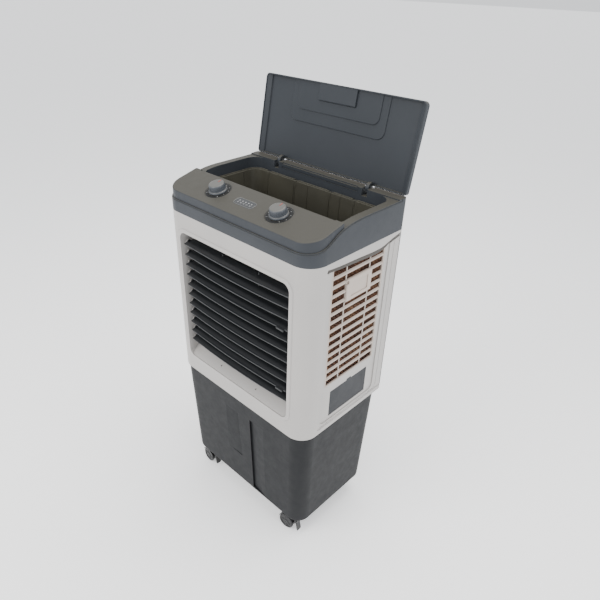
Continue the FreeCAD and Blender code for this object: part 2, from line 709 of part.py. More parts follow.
def impeller():
    hub = rod(HUB_RADIUS, fan_axis(-80), fan_axis(-32))
    blade = box(-38, 38, -1.5, 1.5, 0, FAN_RADIUS + 10)
    blade = blade.rotated(Vector(0, 0, 0), Z_AXIS, 32).translated(fan_axis(-55))
    sweep = rod(FAN_RADIUS, fan_axis(-90), fan_axis(-15))
    pieces = [hub]
    for index in range(FAN_BLADES):
        pieces.append(blade.rotated(fan_axis(0), Y_AXIS, index * 360 / FAN_BLADES).common(sweep))
    return joined(pieces).cut(rod(SHAFT_RADIUS, fan_axis(-100), fan_axis(0)))


# ---------------------------------------------------------------- water system


def water_distributor():
    """U-shaped trough over the three pads with drip slots in its floor."""
    z_low, z_high = GRILLE_HIGH + 2, GRILLE_HIGH + 20
    legs = [box(241, 271, -96, 176, z_low, z_high), box(-271, -241, -96, 176, z_low, z_high)]
    legs.append(box(-271, 271, 150, 176, z_low, z_high))
    trough = joined(legs)
    for x0, x1, y0, y1 in ((243, 269, -94, 174), (-269, -243, -94, 174), (-269, 269, 152, 174)):
        trough = trough.cut(box(x0, x1, y0, y1, z_low + 2, z_high + 1))
    slots = [rod(6, Vector(RISER_X, RISER_Y, z_low - 1), Vector(RISER_X, RISER_Y, z_low + 3))]
    for index in range(7):
        y = -78 + index * 32
        slot = box(253, 257, y, y + 12, z_low - 1, z_low + 3)
        slots += [slot, mirrored(slot)]
    for index in range(10):
        x = -186 + index * 40
        slots.append(box(x, x + 12, 161, 165, z_low - 1, z_low + 3))
    return trough.cut(slots)


def water_pump():
    floor = CASTER_LIFT + TANK_FLOOR
    base = plan_prism(30, -26, 26, 8, 8, floor, floor + 22)
    body = rod(20, Vector(0, 0, floor + 21), Vector(0, 0, floor + 62))
    spout = rod(8, Vector(14, 14, floor + 20), Vector(14, 14, floor + 80))
    pump = joined([base, body, spout])
    return pump.translated(Vector(PUMP_X - 14, PUMP_Y - 14, 0))


def riser_pipe():
    """Hose from the pump's spout up the rear corner to the distributor."""
    start = Vector(PUMP_X, PUMP_Y, CASTER_LIFT + TANK_FLOOR + 80)
    top = Vector(RISER_X, RISER_Y, GRILLE_HIGH + 2)
    points = [start, Vector(start.x, start.y, SEAM - 540), Vector(RISER_X, RISER_Y, SEAM - 450), top]
    bend = 60.0
    edges = []
    last = points[0]
    for index in (1, 2):
        corner = points[index]
        back = (points[index - 1] - corner).normalize()
        ahead = (points[index + 1] - corner).normalize()
        half_angle = back.getAngle(ahead) / 2
        reach = bend / math.tan(half_angle)
        inward = (back + ahead).normalize()
        middle = corner + inward * (bend / math.sin(half_angle) - bend)
        edges.append(Part.makeLine(last, corner + back * reach))
        edges.append(Part.Arc(corner + back * reach, middle, corner + ahead * reach).toShape())
        last = corner + ahead * reach
    edges.append(Part.makeLine(last, points[-1]))
    path = Part.Wire(edges)
    tubes = []
    for radius in (8.0, 6.0):
        ring = Part.Wire([Part.Circle(start, Z_AXIS, radius).toShape()])
        tubes.append(path.makePipeShell([ring], True, False))
    return tubes[0].cut(tubes[1])


# ---------------------------------------------------------------- top shell


def skirt_cut():
    """Everything above the skirt's S-shaped top edge, in front of the rim."""
    profile = [(-200, 35), (-165, 37), (-140, 42), (-115, 53), (-88, 68), (-60, 77), (-25, 82.5), (20, 84)]
    points = [Vector(-400, y, SEAM + height) for y, height in profile]
    curve = Part.BSplineCurve()
    curve.interpolate(points)
    top = SEAM + 140
    lines = [
        Part.makeLine(points[-1], Vector(-400, points[-1].y, top)),
        Part.makeLine(Vector(-400, points[-1].y, top), Vector(-400, points[0].y, top)),
        Part.makeLine(Vector(-400, points[0].y, top), points[0]),
    ]
    return Part.Face(Part.Wire([curve.toShape()] + lines)).extrude(X_AXIS * 800)


def hinge_slot(side):
    x = side * HINGE_X
    return box(x - 9, x + 9, WELL_REAR_Y - 1, REAR_Y + 1, SEAM + 66, RAIL_TOP + 10)


def hinge_pin_bore(side):
    x = side * HINGE_X
    return rod(HINGE_PIN, Vector(x - 16, HINGE_Y, HINGE_Z), Vector(x + 16, HINGE_Y, HINGE_Z))


def rim_step():
    """Narrow step that follows the skirt's top edge."""
    radii = (FRONT_RADIUS + 5, REAR_RADIUS + 5)
    band = plan_prism(HALF_WIDTH + 5, FRONT_Y - 5, REAR_Y + 5, *radii, SEAM, RIM + 5)
    radii = (FRONT_RADIUS - 1.2, 1)
    core = plan_prism(HALF_WIDTH - 1.2, FRONT_Y + 1.2, REAR_Y + 20, *radii, SEAM - 1, RIM + 6)
    above = skirt_cut().translated(Z_AXIS * -3.5)
    above = above.fuse(box(-300, 300, 15, WELL_REAR_Y + 12, RIM - 3.5, RIM + 10))
    return band.cut(core).common(above)


def rail_step(y0, y1, drop):
    """Lengthwise step in the rail between the two hinges."""
    x = HINGE_X - 24
    depth = 3.2 if drop < 10 else 2.4
    return box(-x, x, y0, y1, RAIL_TOP - drop, RAIL_TOP - drop + depth)


def well_block(inset, front_radius, rear_radius, z_low, z_high):
    """Block with the ice well's plan outline, shrunk by inset."""
    front, rear = WELL_FRONT_Y + inset, WELL_REAR_Y - inset
    return plan_prism(WELL_HALF - inset, front, rear, front_radius, rear_radius, z_low, z_high)


def top_shell():
    block = plan_prism(HALF_WIDTH, FRONT_Y, REAR_Y, FRONT_RADIUS, REAR_RADIUS, SEAM, RIM).cut(skirt_cut())
    rail = plan_prism(HALF_WIDTH, FRONT_Y, REAR_Y, FRONT_RADIUS, REAR_RADIUS, SEAM, RAIL_TOP)
    rail = rail.common(box(-300, 300, WELL_REAR_Y, 200, SEAM, RAIL_TOP))
    shell = block.fuse(rail).removeSplitter()

    front, radius = FRONT_Y + SKIRT_WALL, FRONT_RADIUS - SKIRT_WALL
    pod_pocket = plan_prism(HALF_WIDTH - SKIRT_WALL, front, PANEL_REAR_Y, radius, 1, SEAM - 1, RIM + 20)
    well = well_block(0, 20, 38, LEDGE_Z, RIM + 20)
    below_ledge = well_block(13, 20, 30, SEAM - 1, LEDGE_Z + 1)
    rear, radius = REAR_Y - SKIRT_WALL, REAR_RADIUS - SKIRT_WALL
    rim_hollow = plan_prism(HALF_WIDTH - SKIRT_WALL, RIM_HOLLOW_Y, rear, 2, radius, SEAM - 1, RIM - 4)
    rim_hollow = rim_hollow.cut(well_block(-4, 22, 40, SEAM - 2, RIM))
    well_floor_gap = well_block(0, 20, 38, SEAM - 1, LEDGE_Z - 4)
    shell = shell.cut([pod_pocket, well, below_ledge, rim_hollow, well_floor_gap])
    shell = shell.cut([rim_step(), rail_step(150, 155, 3), rail_step(149, 151.6, 14)])
    for side in (-1, 1):
        x = side * HINGE_X
        housing = box(x - 22, x + 22, WELL_REAR_Y + 1, REAR_Y - 1, SEAM + 60, RIM - 2)
        shell = shell.fuse(housing).cut(hinge_slot(side)).cut(hinge_pin_bore(side))
    return shell.removeSplitter()


def hinge_pins():
    return Part.makeCompound([hinge_pin_bore(-1), hinge_pin_bore(1)])


def panel_height(y):
    share = (y - (FRONT_Y + SKIRT_WALL)) / (PANEL_REAR_Y - FRONT_Y - SKIRT_WALL)
    return SEAM + PANEL_FRONT_HEIGHT + (PANEL_REAR_HEIGHT - PANEL_FRONT_HEIGHT) * share


PANEL_SLOPE = math.atan2(PANEL_REAR_HEIGHT - PANEL_FRONT_HEIGHT, PANEL_REAR_Y - FRONT_Y - SKIRT_WALL)
PANEL_NORMAL = Vector(0, -math.sin(PANEL_SLOPE), math.cos(PANEL_SLOPE))


def pod_solid(inset, drop):
    """The control pod's block, shrunk by inset and with its sloped top lowered by drop."""
    front, rear = FRONT_Y + SKIRT_WALL + inset, PANEL_REAR_Y - inset
    half, radius = HALF_WIDTH - SKIRT_WALL - inset, FRONT_RADIUS - SKIRT_WALL - inset
    block = plan_prism(half, front, rear, radius, 4 - inset / 2, SEAM + 18, RIM + 30)
    points = [
        Vector(-300, front - 10, SEAM + 10 + drop),
        Vector(-300, rear + 10, SEAM + 10 + drop),
        Vector(-300, rear + 10, panel_height(rear + 10) - drop),
        Vector(-300, front - 10, panel_height(front - 10) - drop),
    ]
    wedge = Part.Face(Part.makePolygon(points + points[:1])).extrude(X_AXIS * 600)
    return block.common(wedge)


def on_panel(shape, x, y):
    """Move a shape drawn at the origin, facing +Z, onto the panel's face."""
    tilted = shape.rotated(Vector(0, 0, 0), X_AXIS, math.degrees(PANEL_SLOPE))
    return tilted.translated(Vector(x, y, panel_height(y)))


def control_panel():
    outer = pod_solid(0, 0)
    rim_edges = [edge for edge in outer.Edges if edge.BoundBox.ZMin > SEAM + PANEL_FRONT_HEIGHT - 1]
    outer = outer.makeFillet(3.0, rim_edges)
    panel = outer.cut(pod_solid(3.5, 5.0))
    half, ledge_z = WELL_HALF - 6, panel_height(PANEL_REAR_Y) - 4
    ledge = box(-half, half, PANEL_REAR_Y - 6, PANEL_REAR_Y + 1, ledge_z, RIM + 30)
    open_floor = pod_solid(3.5, 0).common(box(-300, 300, -300, PANEL_REAR_Y, SEAM, SEAM + 19.9))
    panel = panel.cut(ledge).cut(open_floor)
    for side in (-1, 1):
        dish = Part.makeCone(DIAL_RADIUS - 1, DIAL_RADIUS + 0.5, 1.6, Vector(0, 0, -1.5), Z_AXIS)
        hole = rod(6, Vector(0, 0, -10), Vector(0, 0, 5))
        panel = panel.cut(on_panel(dish.fuse(hole), side * KNOB_X, KNOB_Y))
    window = plan_prism(34, -12, 12, 9, 9, -1.5, 5)
    return panel.cut(on_panel(window, WINDOW_X, WINDOW_Y))


def indicator_window():
    lens = plan_prism(33.6, -11.6, 11.6, 8.6, 8.6, -1.5, 0.6)
    return on_panel(lens.makeFillet(0.8, edges_at(lens, "Z", 0.6)), WINDOW_X, WINDOW_Y)


def rotary_switches():
    switches = []
    for side in (-1, 1):
        bush = rod(5.8, Vector(0, 0, -12), Vector(0, 0, -2))
        body = box(-17, 17, -17, 17, -32, -5.5)
        bore = rod(4 + RUNNING_GAP, Vector(0, 0, -22), Vector(0, 0, 0))
        switches.append(on_panel(body.fuse(bush).cut(bore), side * KNOB_X, KNOB_Y))
    return Part.makeCompound(switches)


def knob(side):
    skirt = Part.makeCone(KNOB_RADIUS, KNOB_RADIUS - 1.5, 6, Vector(0, 0, -1.0), Z_AXIS)
    barrel = Part.makeCone(KNOB_RADIUS - 3, KNOB_RADIUS - 5, 17, Vector(0, 0, 4.5), Z_AXIS)
    barrel = barrel.makeFillet(4, edges_at(barrel, "Z", 21.5))
    stem = rod(4, Vector(0, 0, -20), Vector(0, 0, 0))
    pointer = box(-1.5, 1.5, 6, KNOB_RADIUS - 6.5, 21, 22.3)
    return on_panel(joined([skirt, barrel, stem, pointer]), side * KNOB_X, KNOB_Y)


# ---------------------------------------------------------------- lid and ice tray


def ring_sector(r_in, r_out, start, end, x0, x1):
    """Part of a ring about the lid's hinge line, between two angles measured from +Y towards +Z."""

    def at(radius, degrees):
        turn = math.radians(degrees)
        return Vector(x0, HINGE_Y + radius * math.cos(turn), HINGE_Z + radius * math.sin(turn))

    middle = (start + end) / 2
    outline = [
        Part.Arc(at(r_out, start), at(r_out, middle), at(r_out, end)).toShape(),
        Part.makeLine(at(r_out, end), at(r_in, end)),
        Part.Arc(at(r_in, end), at(r_in, middle), at(r_in, start)).toShape(),
        Part.makeLine(at(r_in, start), at(r_out, start)),
    ]
    return Part.Face(Part.Wire(outline)).extrude(Vector(x1 - x0, 0, 0))


def lid_hinge_arm(side):
    """C-shaped arm from the lid round to the boss on the hinge pin."""
    x0, x1 = side * HINGE_X - 5, side * HINGE_X + 5
    boss = rod(6.5, Vector(x0, HINGE_Y, HINGE_Z), Vector(x1, HINGE_Y, HINGE_Z))
    hook = ring_sector(10.5, 15.0, 115, 310, x0, x1)
    spoke = ring_sector(5.5, 14.0, 285, 310, x0, x1)
    return joined([boss, hook, spoke])


def lid_step(half, y_rear, radius, z_low):
    """Moulded step on the lid's underside, open towards its front edge."""
    step = plan_prism(half, LID_FRONT_Y + 1, y_rear, 1, radius, z_low, LID_SKIN_Z + 1)
    return step.makeFillet(1.8, edges_at(step, "Z", z_low))


def lid_side_rib():
    """Sloped border along the lid's side, inside its flange."""
    points = [
        Vector(LID_HALF - 20, 0, LID_SKIN_Z + 1),
        Vector(LID_HALF - 18, 0, LID_SKIN_Z - 4),
        Vector(LID_HALF - 6, 0, LID_LOW + 2),
        Vector(LID_HALF - 1, 0, LID_LOW + 2),
        Vector(LID_HALF - 1, 0, LID_SKIN_Z + 1),
    ]
    section = Part.Face(Part.makePolygon(points + points[:1]))
    return section.extrude(Y_AXIS * (LID_REAR_Y - LID_FRONT_Y - 6)).translated(Y_AXIS * (LID_FRONT_Y + 3))


def lid_closed():
    top = LID_LOW + LID_THICKNESS
    outer = plan_prism(LID_HALF, LID_FRONT_Y, LID_REAR_Y, 12, 8, LID_LOW, top)
    outer = outer.makeFillet(4, edges_at(outer, "Z", top))
    inner = plan_prism(LID_HALF - 3, LID_FRONT_Y + 3, LID_REAR_Y - 3, 9, 5, LID_LOW - 1, LID_SKIN_Z)
    bulge = box(-POCKET_HALF, POCKET_HALF, LID_FRONT_Y + 1, POCKET_REAR_Y, LID_LOW + 1, LID_SKIN_Z + 1)
    bulge_edges = [edge for edge in edges_at(bulge, "Y", POCKET_REAR_Y) if edge.BoundBox.ZMin < LID_SKIN_Z]
    pieces = [
        outer.cut(inner),
        lid_step(168, 54, 24, LID_SKIN_Z - 2.5),
        lid_step(145, 20, 20, LID_SKIN_Z - 5),
        both_sides(lid_side_rib()).common(outer),
        bulge.makeFillet(5, bulge_edges),
        lid_hinge_arm(-1),
        lid_hinge_arm(1),
    ]
    half, front, rear = POCKET_HALF - 3, LID_FRONT_Y + 6, POCKET_REAR_Y - 4
    finger_pocket = box(-half, half, front, rear, LID_LOW + 4, top + 1)
    return joined(pieces).cut([finger_pocket, lid_pin_holes()])


def lid_pin_holes():
    axis_start = Vector(-200, HINGE_Y, HINGE_Z)
    return rod(HINGE_PIN + RUNNING_GAP, axis_start, axis_start + X_AXIS * 400)


def lid():
    return lid_closed().rotated(Vector(0, HINGE_Y, HINGE_Z), X_AXIS, -LID_OPEN)


def ice_tray():
    rim_z = LEDGE_Z + 3
    floor_z = rim_z - TRAY_DEPTH
    front, rear = WELL_FRONT_Y + 16, WELL_REAR_Y - 16

    def tub(inset, z_low):
        low = plan_loop(226 - inset, front + 6 + inset, rear - 8 - inset, 18, 26, z_low)
        high = plan_loop(240 - inset, front + inset, rear - inset, 20, 30, rim_z + 1)
        return Part.makeLoft([low, high], True, True)

    flange = well_block(7, 24, 36, LEDGE_Z, rim_z)
    body = tub(0, floor_z).common(box(-300, 300, -200, 200, floor_z, rim_z))
    bead = well_block(9, 23, 34, rim_z - 1, rim_z + 2.5).cut(well_block(13, 20, 31, rim_z - 2, rim_z + 3))
    notches = []
    clips = []
    for x in TRAY_CLIPS:
        notches.append(box(x - 8, x + 8, WELL_REAR_Y - 15, WELL_REAR_Y, LEDGE_Z - 1, rim_z + 4))
        clips.append(box(x - 5, x + 5, rear - 4, rear + 5, rim_z - 16, rim_z + 3))
    seams = []
    for x in TRAY_CLIPS + (-75, -20, 100):
        seams.append(box(x - 1.2, x + 1.2, rear - 40, rear, floor_z, rim_z))
    for y in (20, 80):
        seam = box(180, 250, y - 1.2, y + 1.2, floor_z, rim_z)
        seams += [seam, mirrored(seam)]
    skin = tub(1, floor_z).cut(tub(3.8, floor_z - 1)).common(Part.makeCompound(seams))
    shell = joined([body, flange, bead]).cut([tub(2.5, floor_z + 2.5)] + notches)
    clip_block = Part.makeCompound(clips).common(tub(-2, floor_z)).cut(tub(5.5, floor_z - 1))
    return joined([shell, skin, clip_block])


# ---------------------------------------------------------------- casters


def caster_frame(shape, name):
    """Turn a caster piece drawn about its stem to its resting yaw and move it to its corner."""
    return shape.rotated(Vector(0, 0, 0), Z_AXIS, CASTER_YAW[name]).translated(caster_places()[name])


def wheel_axis(y):
    return Vector(CASTER_OFFSET, y, CASTER_WHEEL_RADIUS)


def caster_yoke(name):
    """Stem, web between the two wheels, and the hood over them."""
    hood_low = CASTER_WHEEL_RADIUS + 12
    stem = rod(CASTER_STEM, Vector(0, 0, CASTER_LIFT - 14), Vector(0, 0, CASTER_LIFT + 20))
    collar = rod(9, Vector(0, 0, CASTER_LIFT - 19), Vector(0, 0, CASTER_LIFT - 0.5))
    web = rod(CASTER_WHEEL_RADIUS - 2, wheel_axis(-3.5), wheel_axis(3.5))
    fender = rod(CASTER_WHEEL_RADIUS + 4, wheel_axis(-14), wheel_axis(14))
    fender = fender.cut(rod(CASTER_WHEEL_RADIUS + 1.2, wheel_axis(3.5), wheel_axis(15)))
    fender = fender.cut(rod(CASTER_WHEEL_RADIUS + 1.2, wheel_axis(-15), wheel_axis(-3.5)))
    fender = fender.cut(box(-60, 80, -20, 20, -20, hood_low))
    axle = rod(3, wheel_axis(-13), wheel_axis(13))
    lug = box(BRAKE_X - 2.5, -8, -3.5, 3.5, BRAKE_Z - 7, BRAKE_Z + 3.5)
    yoke = joined([stem, collar, web, fender, axle])
    if has_brake(name):
        yoke = yoke.fuse(lug).removeSplitter().cut(brake_axle(1.5 + RUNNING_GAP))
    return caster_frame(yoke, name)


def caster_wheels(name):
    """Twin wheels, one each side of the web."""
    wheels = []
    for side in (-1, 1):
        tyre = rod(CASTER_WHEEL_RADIUS, wheel_axis(side * 4.5), wheel_axis(side * 13.5))
        tyre = tyre.makeFillet(2, edges_at(tyre, "Y", side * 13.5))
        dish = rod(CASTER_WHEEL_RADIUS - 8, wheel_axis(side * 12), wheel_axis(side * 15))
        bore = rod(3 + RUNNING_GAP, wheel_axis(side * 3), wheel_axis(side * 15))
        wheels.append(tyre.cut(dish).cut(bore))
    return caster_frame(Part.makeCompound(wheels), name)


def has_brake(name):
    return name.startswith("front")


def brake_axle(radius):
    return rod(radius, Vector(BRAKE_X, -7, BRAKE_Z), Vector(BRAKE_X, 7, BRAKE_Z))


def caster_brake(name):
    """Foot lever on the yoke's outer end: two cheeks on an axle and a pad that hangs beside the wheels."""
    low, high = BRAKE_Z - 4, BRAKE_Z + 3.5
    cheeks = [box(BRAKE_X - 6, BRAKE_X + 3, y - 1.5, y + 1.5, low, high) for y in (-5.5, 5.5)]
    bridge = box(BRAKE_X - 9, BRAKE_X - 4.5, -8, 8, BRAKE_Z - 6, BRAKE_Z + 3.5)
    pad = box(-2.2, 2.2, -9, 9, -34, 2)
    pad = pad.makeFillet(1.8, edges_at(pad, "Z", -34)).rotated(Vector(0, 0, 0), Y_AXIS, 12)
    pad = pad.translated(Vector(BRAKE_X - 6.5, 0, BRAKE_Z - 4))
    return caster_frame(joined([brake_axle(1.5), bridge, pad] + cheeks), name)


# ---------------------------------------------------------------- assembly


def build():
    nodes = {
        "water_tank": water_tank(),
        "drain_plug": drain_plug(),
        "front_housing": front_housing(),
        "rear_cover": rear_cover(),
        "rear_pad": rear_pad(),
        "side_grille_right": side_grille(),
        "side_grille_left": mirrored(side_grille()),
        "side_pad_right": side_pad(),
        "side_pad_left": mirrored(side_pad()),
        "fill_flap": flap_plate(),
        "blank_plate_left": mirrored(blank_plate()),
        "casing_screws": casing_screws(),
        "cord_gland": cord_gland(),
        "outlet_frame": outlet_frame(),
        "vane_link": vane_link(),
        "swing_motor": swing_motor(),
        "fan_shroud": fan_shroud(),
        "motor_bracket": motor_bracket(),
        "fan_motor": fan_motor(),
        "motor_shaft": motor_shaft(),
        "impeller": impeller(),
        "water_distributor": water_distributor(),
        "water_pump": water_pump(),
        "riser_pipe": riser_pipe(),
        "top_shell": top_shell(),
        "hinge_pins": hinge_pins(),
        "control_panel": control_panel(),
        "indicator_window": indicator_window(),
        "rotary_switches": rotary_switches(),
        "knob_left": knob(-1),
        "knob_right": knob(1),
        "lid": lid(),
        "ice_tray": ice_tray(),
        "louvre_link_upper": louvre_link(LOUVRE_UPPER_GROUP),
        "louvre_link_lower": louvre_link(LOUVRE_LOWER_GROUP),
    }
    for number in range(1, LOUVRE_COUNT + 1):
        nodes[f"louvre_{number:02d}"] = louvre(number)
    for number in range(1, VANE_COUNT + 1):
        nodes[f"vane_{number}"] = vane(number)
    for name in caster_places():
        nodes[f"caster_{name}_yoke"] = caster_yoke(name)
        nodes[f"caster_{name}_wheels"] = caster_wheels(name)
        if has_brake(name):
            nodes[f"caster_{name}_brake"] = caster_brake(name)
    return nodes


def main():
    os.makedirs("parts", exist_ok=True)
    for name, shape in build().items():
        shape.translated(Vector(0, BODY_Y, 0)).exportStep(f"parts/{name}.step")


main()
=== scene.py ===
import json
import math

import bmesh
import bpy
from mathutils import Matrix, Vector


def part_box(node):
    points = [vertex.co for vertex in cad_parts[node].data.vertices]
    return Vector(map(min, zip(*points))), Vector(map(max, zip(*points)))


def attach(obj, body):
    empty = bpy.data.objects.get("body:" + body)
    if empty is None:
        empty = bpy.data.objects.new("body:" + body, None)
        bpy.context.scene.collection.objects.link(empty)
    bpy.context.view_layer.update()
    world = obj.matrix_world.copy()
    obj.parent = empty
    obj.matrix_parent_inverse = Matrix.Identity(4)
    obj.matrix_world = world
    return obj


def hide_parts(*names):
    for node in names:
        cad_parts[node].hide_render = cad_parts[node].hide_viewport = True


# Looks of the evaporative cooler: metres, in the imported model's own frame. +Z is up, the louvres face -Y.

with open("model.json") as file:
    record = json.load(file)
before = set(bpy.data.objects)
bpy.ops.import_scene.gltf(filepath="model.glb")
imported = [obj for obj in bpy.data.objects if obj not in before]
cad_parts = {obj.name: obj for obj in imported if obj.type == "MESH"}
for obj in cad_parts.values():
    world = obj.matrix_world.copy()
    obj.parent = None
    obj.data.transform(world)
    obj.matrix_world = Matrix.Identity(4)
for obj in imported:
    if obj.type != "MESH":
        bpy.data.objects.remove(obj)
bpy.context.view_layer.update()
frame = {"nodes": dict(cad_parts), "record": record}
NODES = frame["nodes"]

SHELL_LOW, SHELL_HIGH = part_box("top_shell")
SEAM_Z = SHELL_LOW.z
MID_Y = (SHELL_LOW.y + SHELL_HIGH.y) / 2
JOINTS = {joint["name"]: joint for joint in frame["record"]["behaviour"]["joints"]}
MM = 0.001


# ---------------------------------------------------------------- materials


def new_material(name):
    material = bpy.data.materials.new(name)
    material.use_nodes = True
    tree = material.node_tree
    shader = tree.nodes["Principled BSDF"]
    return material, tree, shader


def noise(tree, scale, detail=4.0, roughness=0.55, stretch=None):
    """Noise in object coordinates, so it holds still on a piece that moves."""
    coords = tree.nodes.new("ShaderNodeTexCoord")
    source = coords.outputs["Object"]
    if stretch:
        mapping = tree.nodes.new("ShaderNodeMapping")
        mapping.inputs["Scale"].default_value = stretch
        tree.links.new(source, mapping.inputs["Vector"])
        source = mapping.outputs["Vector"]
    texture = tree.nodes.new("ShaderNodeTexNoise")
    texture.inputs["Scale"].default_value = scale
    texture.inputs["Detail"].default_value = detail
    texture.inputs["Roughness"].default_value = roughness
    tree.links.new(source, texture.inputs["Vector"])
    return texture.outputs["Fac"]


def ramp(tree, source, stops):
    node = tree.nodes.new("ShaderNodeValToRGB")
    elements = node.color_ramp.elements
    while len(elements) < len(stops):
        elements.new(0.5)
    for element, (place, color) in zip(elements, stops):
        element.position = place
        element.color = (*color, 1) if len(color) == 3 else color
    tree.links.new(source, node.inputs["Fac"])
    return node.outputs["Color"]


def spread(tree, source, low, high, from_low=0.3, from_high=0.7):
    node = tree.nodes.new("ShaderNodeMapRange")
    node.inputs["From Min"].default_value = from_low
    node.inputs["From Max"].default_value = from_high
    node.inputs["To Min"].default_value = low
    node.inputs["To Max"].default_value = high
    tree.links.new(source, node.inputs["Value"])
    return node.outputs["Result"]


def bump(tree, shader, heights, edge=0.0006):
    """Chain of bumps (height source, distance, strength) over normals rounded at the edges."""
    rounding = tree.nodes.new("ShaderNodeBevel")
    rounding.samples = 4
    rounding.inputs["Radius"].default_value = edge
    normal = rounding.outputs["Normal"]
    for height, distance, strength in heights:
        node = tree.nodes.new("ShaderNodeBump")
        node.inputs["Distance"].default_value = distance
        node.inputs["Strength"].default_value = strength
        tree.links.new(height, node.inputs["Height"])
        tree.links.new(normal, node.inputs["Normal"])
        normal = node.outputs["Normal"]
    tree.links.new(normal, shader.inputs["Normal"])


def scaled(color, factor):
    return tuple(channel * factor for channel in color)


def plastic(name, color, rough, tint=None, grain=0.5, edge=0.0006, wear=0.14, coat=0.0, painted_top_light=None, gloss=0.4):
    """Moulded plastic: slow colour drift, patchy sheen, fine spark-eroded grain, lighter worn edges; upward
    faces may get a painted top light.
    """
    material, tree, shader = new_material(name)
    drift = noise(tree, 5.0, 3.0)
    other = tint or scaled(color, 0.86)
    body = ramp(tree, drift, [(0.32, other), (0.68, color)])
    geometry = tree.nodes.new("ShaderNodeNewGeometry")
    edges = spread(tree, geometry.outputs["Pointiness"], 0.0, wear, 0.51, 0.62)
    mix = tree.nodes.new("ShaderNodeMix")
    mix.data_type = "RGBA"
    mix.inputs["B"].default_value = (*[min(1.0, c * 1.5 + 0.05) for c in color], 1)
    tree.links.new(edges, mix.inputs["Factor"])
    tree.links.new(body, mix.inputs["A"])
    result = mix.outputs["Result"]
    # Painted light: faces turned upwards blend towards a tint that stands for light falling from above
    if painted_top_light:
        upward = tree.nodes.new("ShaderNodeSeparateXYZ")
        tree.links.new(geometry.outputs["Normal"], upward.inputs["Vector"])
        top = tree.nodes.new("ShaderNodeMix")
        top.data_type = "RGBA"
        top.inputs["B"].default_value = (*painted_top_light, 1)
        tree.links.new(spread(tree, upward.outputs["Z"], 0.0, 0.9, 0.35, 0.9), top.inputs["Factor"])
        tree.links.new(result, top.inputs["A"])
        result = top.outputs["Result"]
    tree.links.new(result, shader.inputs["Base Color"])
    shader.inputs["Specular IOR Level"].default_value = gloss
    sheen = noise(tree, 38.0, 5.0, 0.7)
    tree.links.new(spread(tree, sheen, rough - 0.05, rough + 0.06), shader.inputs["Roughness"])
    shader.inputs["IOR"].default_value = 1.5
    shader.inputs["Coat Weight"].default_value = coat
    shader.inputs["Coat Roughness"].default_value = 0.25
    fine = noise(tree, 2600.0, 2.0, 0.6)
    wavy = noise(tree, 9.0, 2.0, 0.4)
    bump(tree, shader, [(fine, 0.00005, grain), (wavy, 0.0006, 0.12)], edge)
    return material


def metal(name, color, rough, stretch=(1, 1, 30)):
    material, tree, shader = new_material(name)
    lines = noise(tree, 160.0, 5.0, 0.6, stretch)
    tree.links.new(ramp(tree, lines, [(0.3, scaled(color, 0.75)), (0.7, color)]), shader.inputs["Base Color"])
    tree.links.new(spread(tree, lines, rough - 0.08, rough + 0.12), shader.inputs["Roughness"])
    shader.inputs["Metallic"].default_value = 1.0
    bump(tree, shader, [(lines, 0.00008, 0.3)], 0.0004)
    return material


def pad_material():
    """Resin-stiffened paper: reddish brown with darker soaked patches and fibres."""
    material, tree, shader = new_material("pad_paper")
    patches = noise(tree, 22.0, 5.0, 0.65)
    soaked, brown, faded = (0.03, 0.012, 0.007), (0.085, 0.032, 0.014), (0.19, 0.1, 0.05)
    body = ramp(tree, patches, [(0.25, soaked), (0.5, brown), (0.75, faded)])
    tree.links.new(body, shader.inputs["Base Color"])
    fibres = noise(tree, 420.0, 6.0, 0.75, (1, 1, 0.25))
    tree.links.new(spread(tree, fibres, 0.72, 0.95), shader.inputs["Roughness"])
    bump(tree, shader, [(fibres, 0.0004, 0.6)], 0.0003)
    return material


# Olive tone painted on the upward faces, standing for warm light from above
TOP_LIGHT_OLIVE = (0.055, 0.052, 0.043)

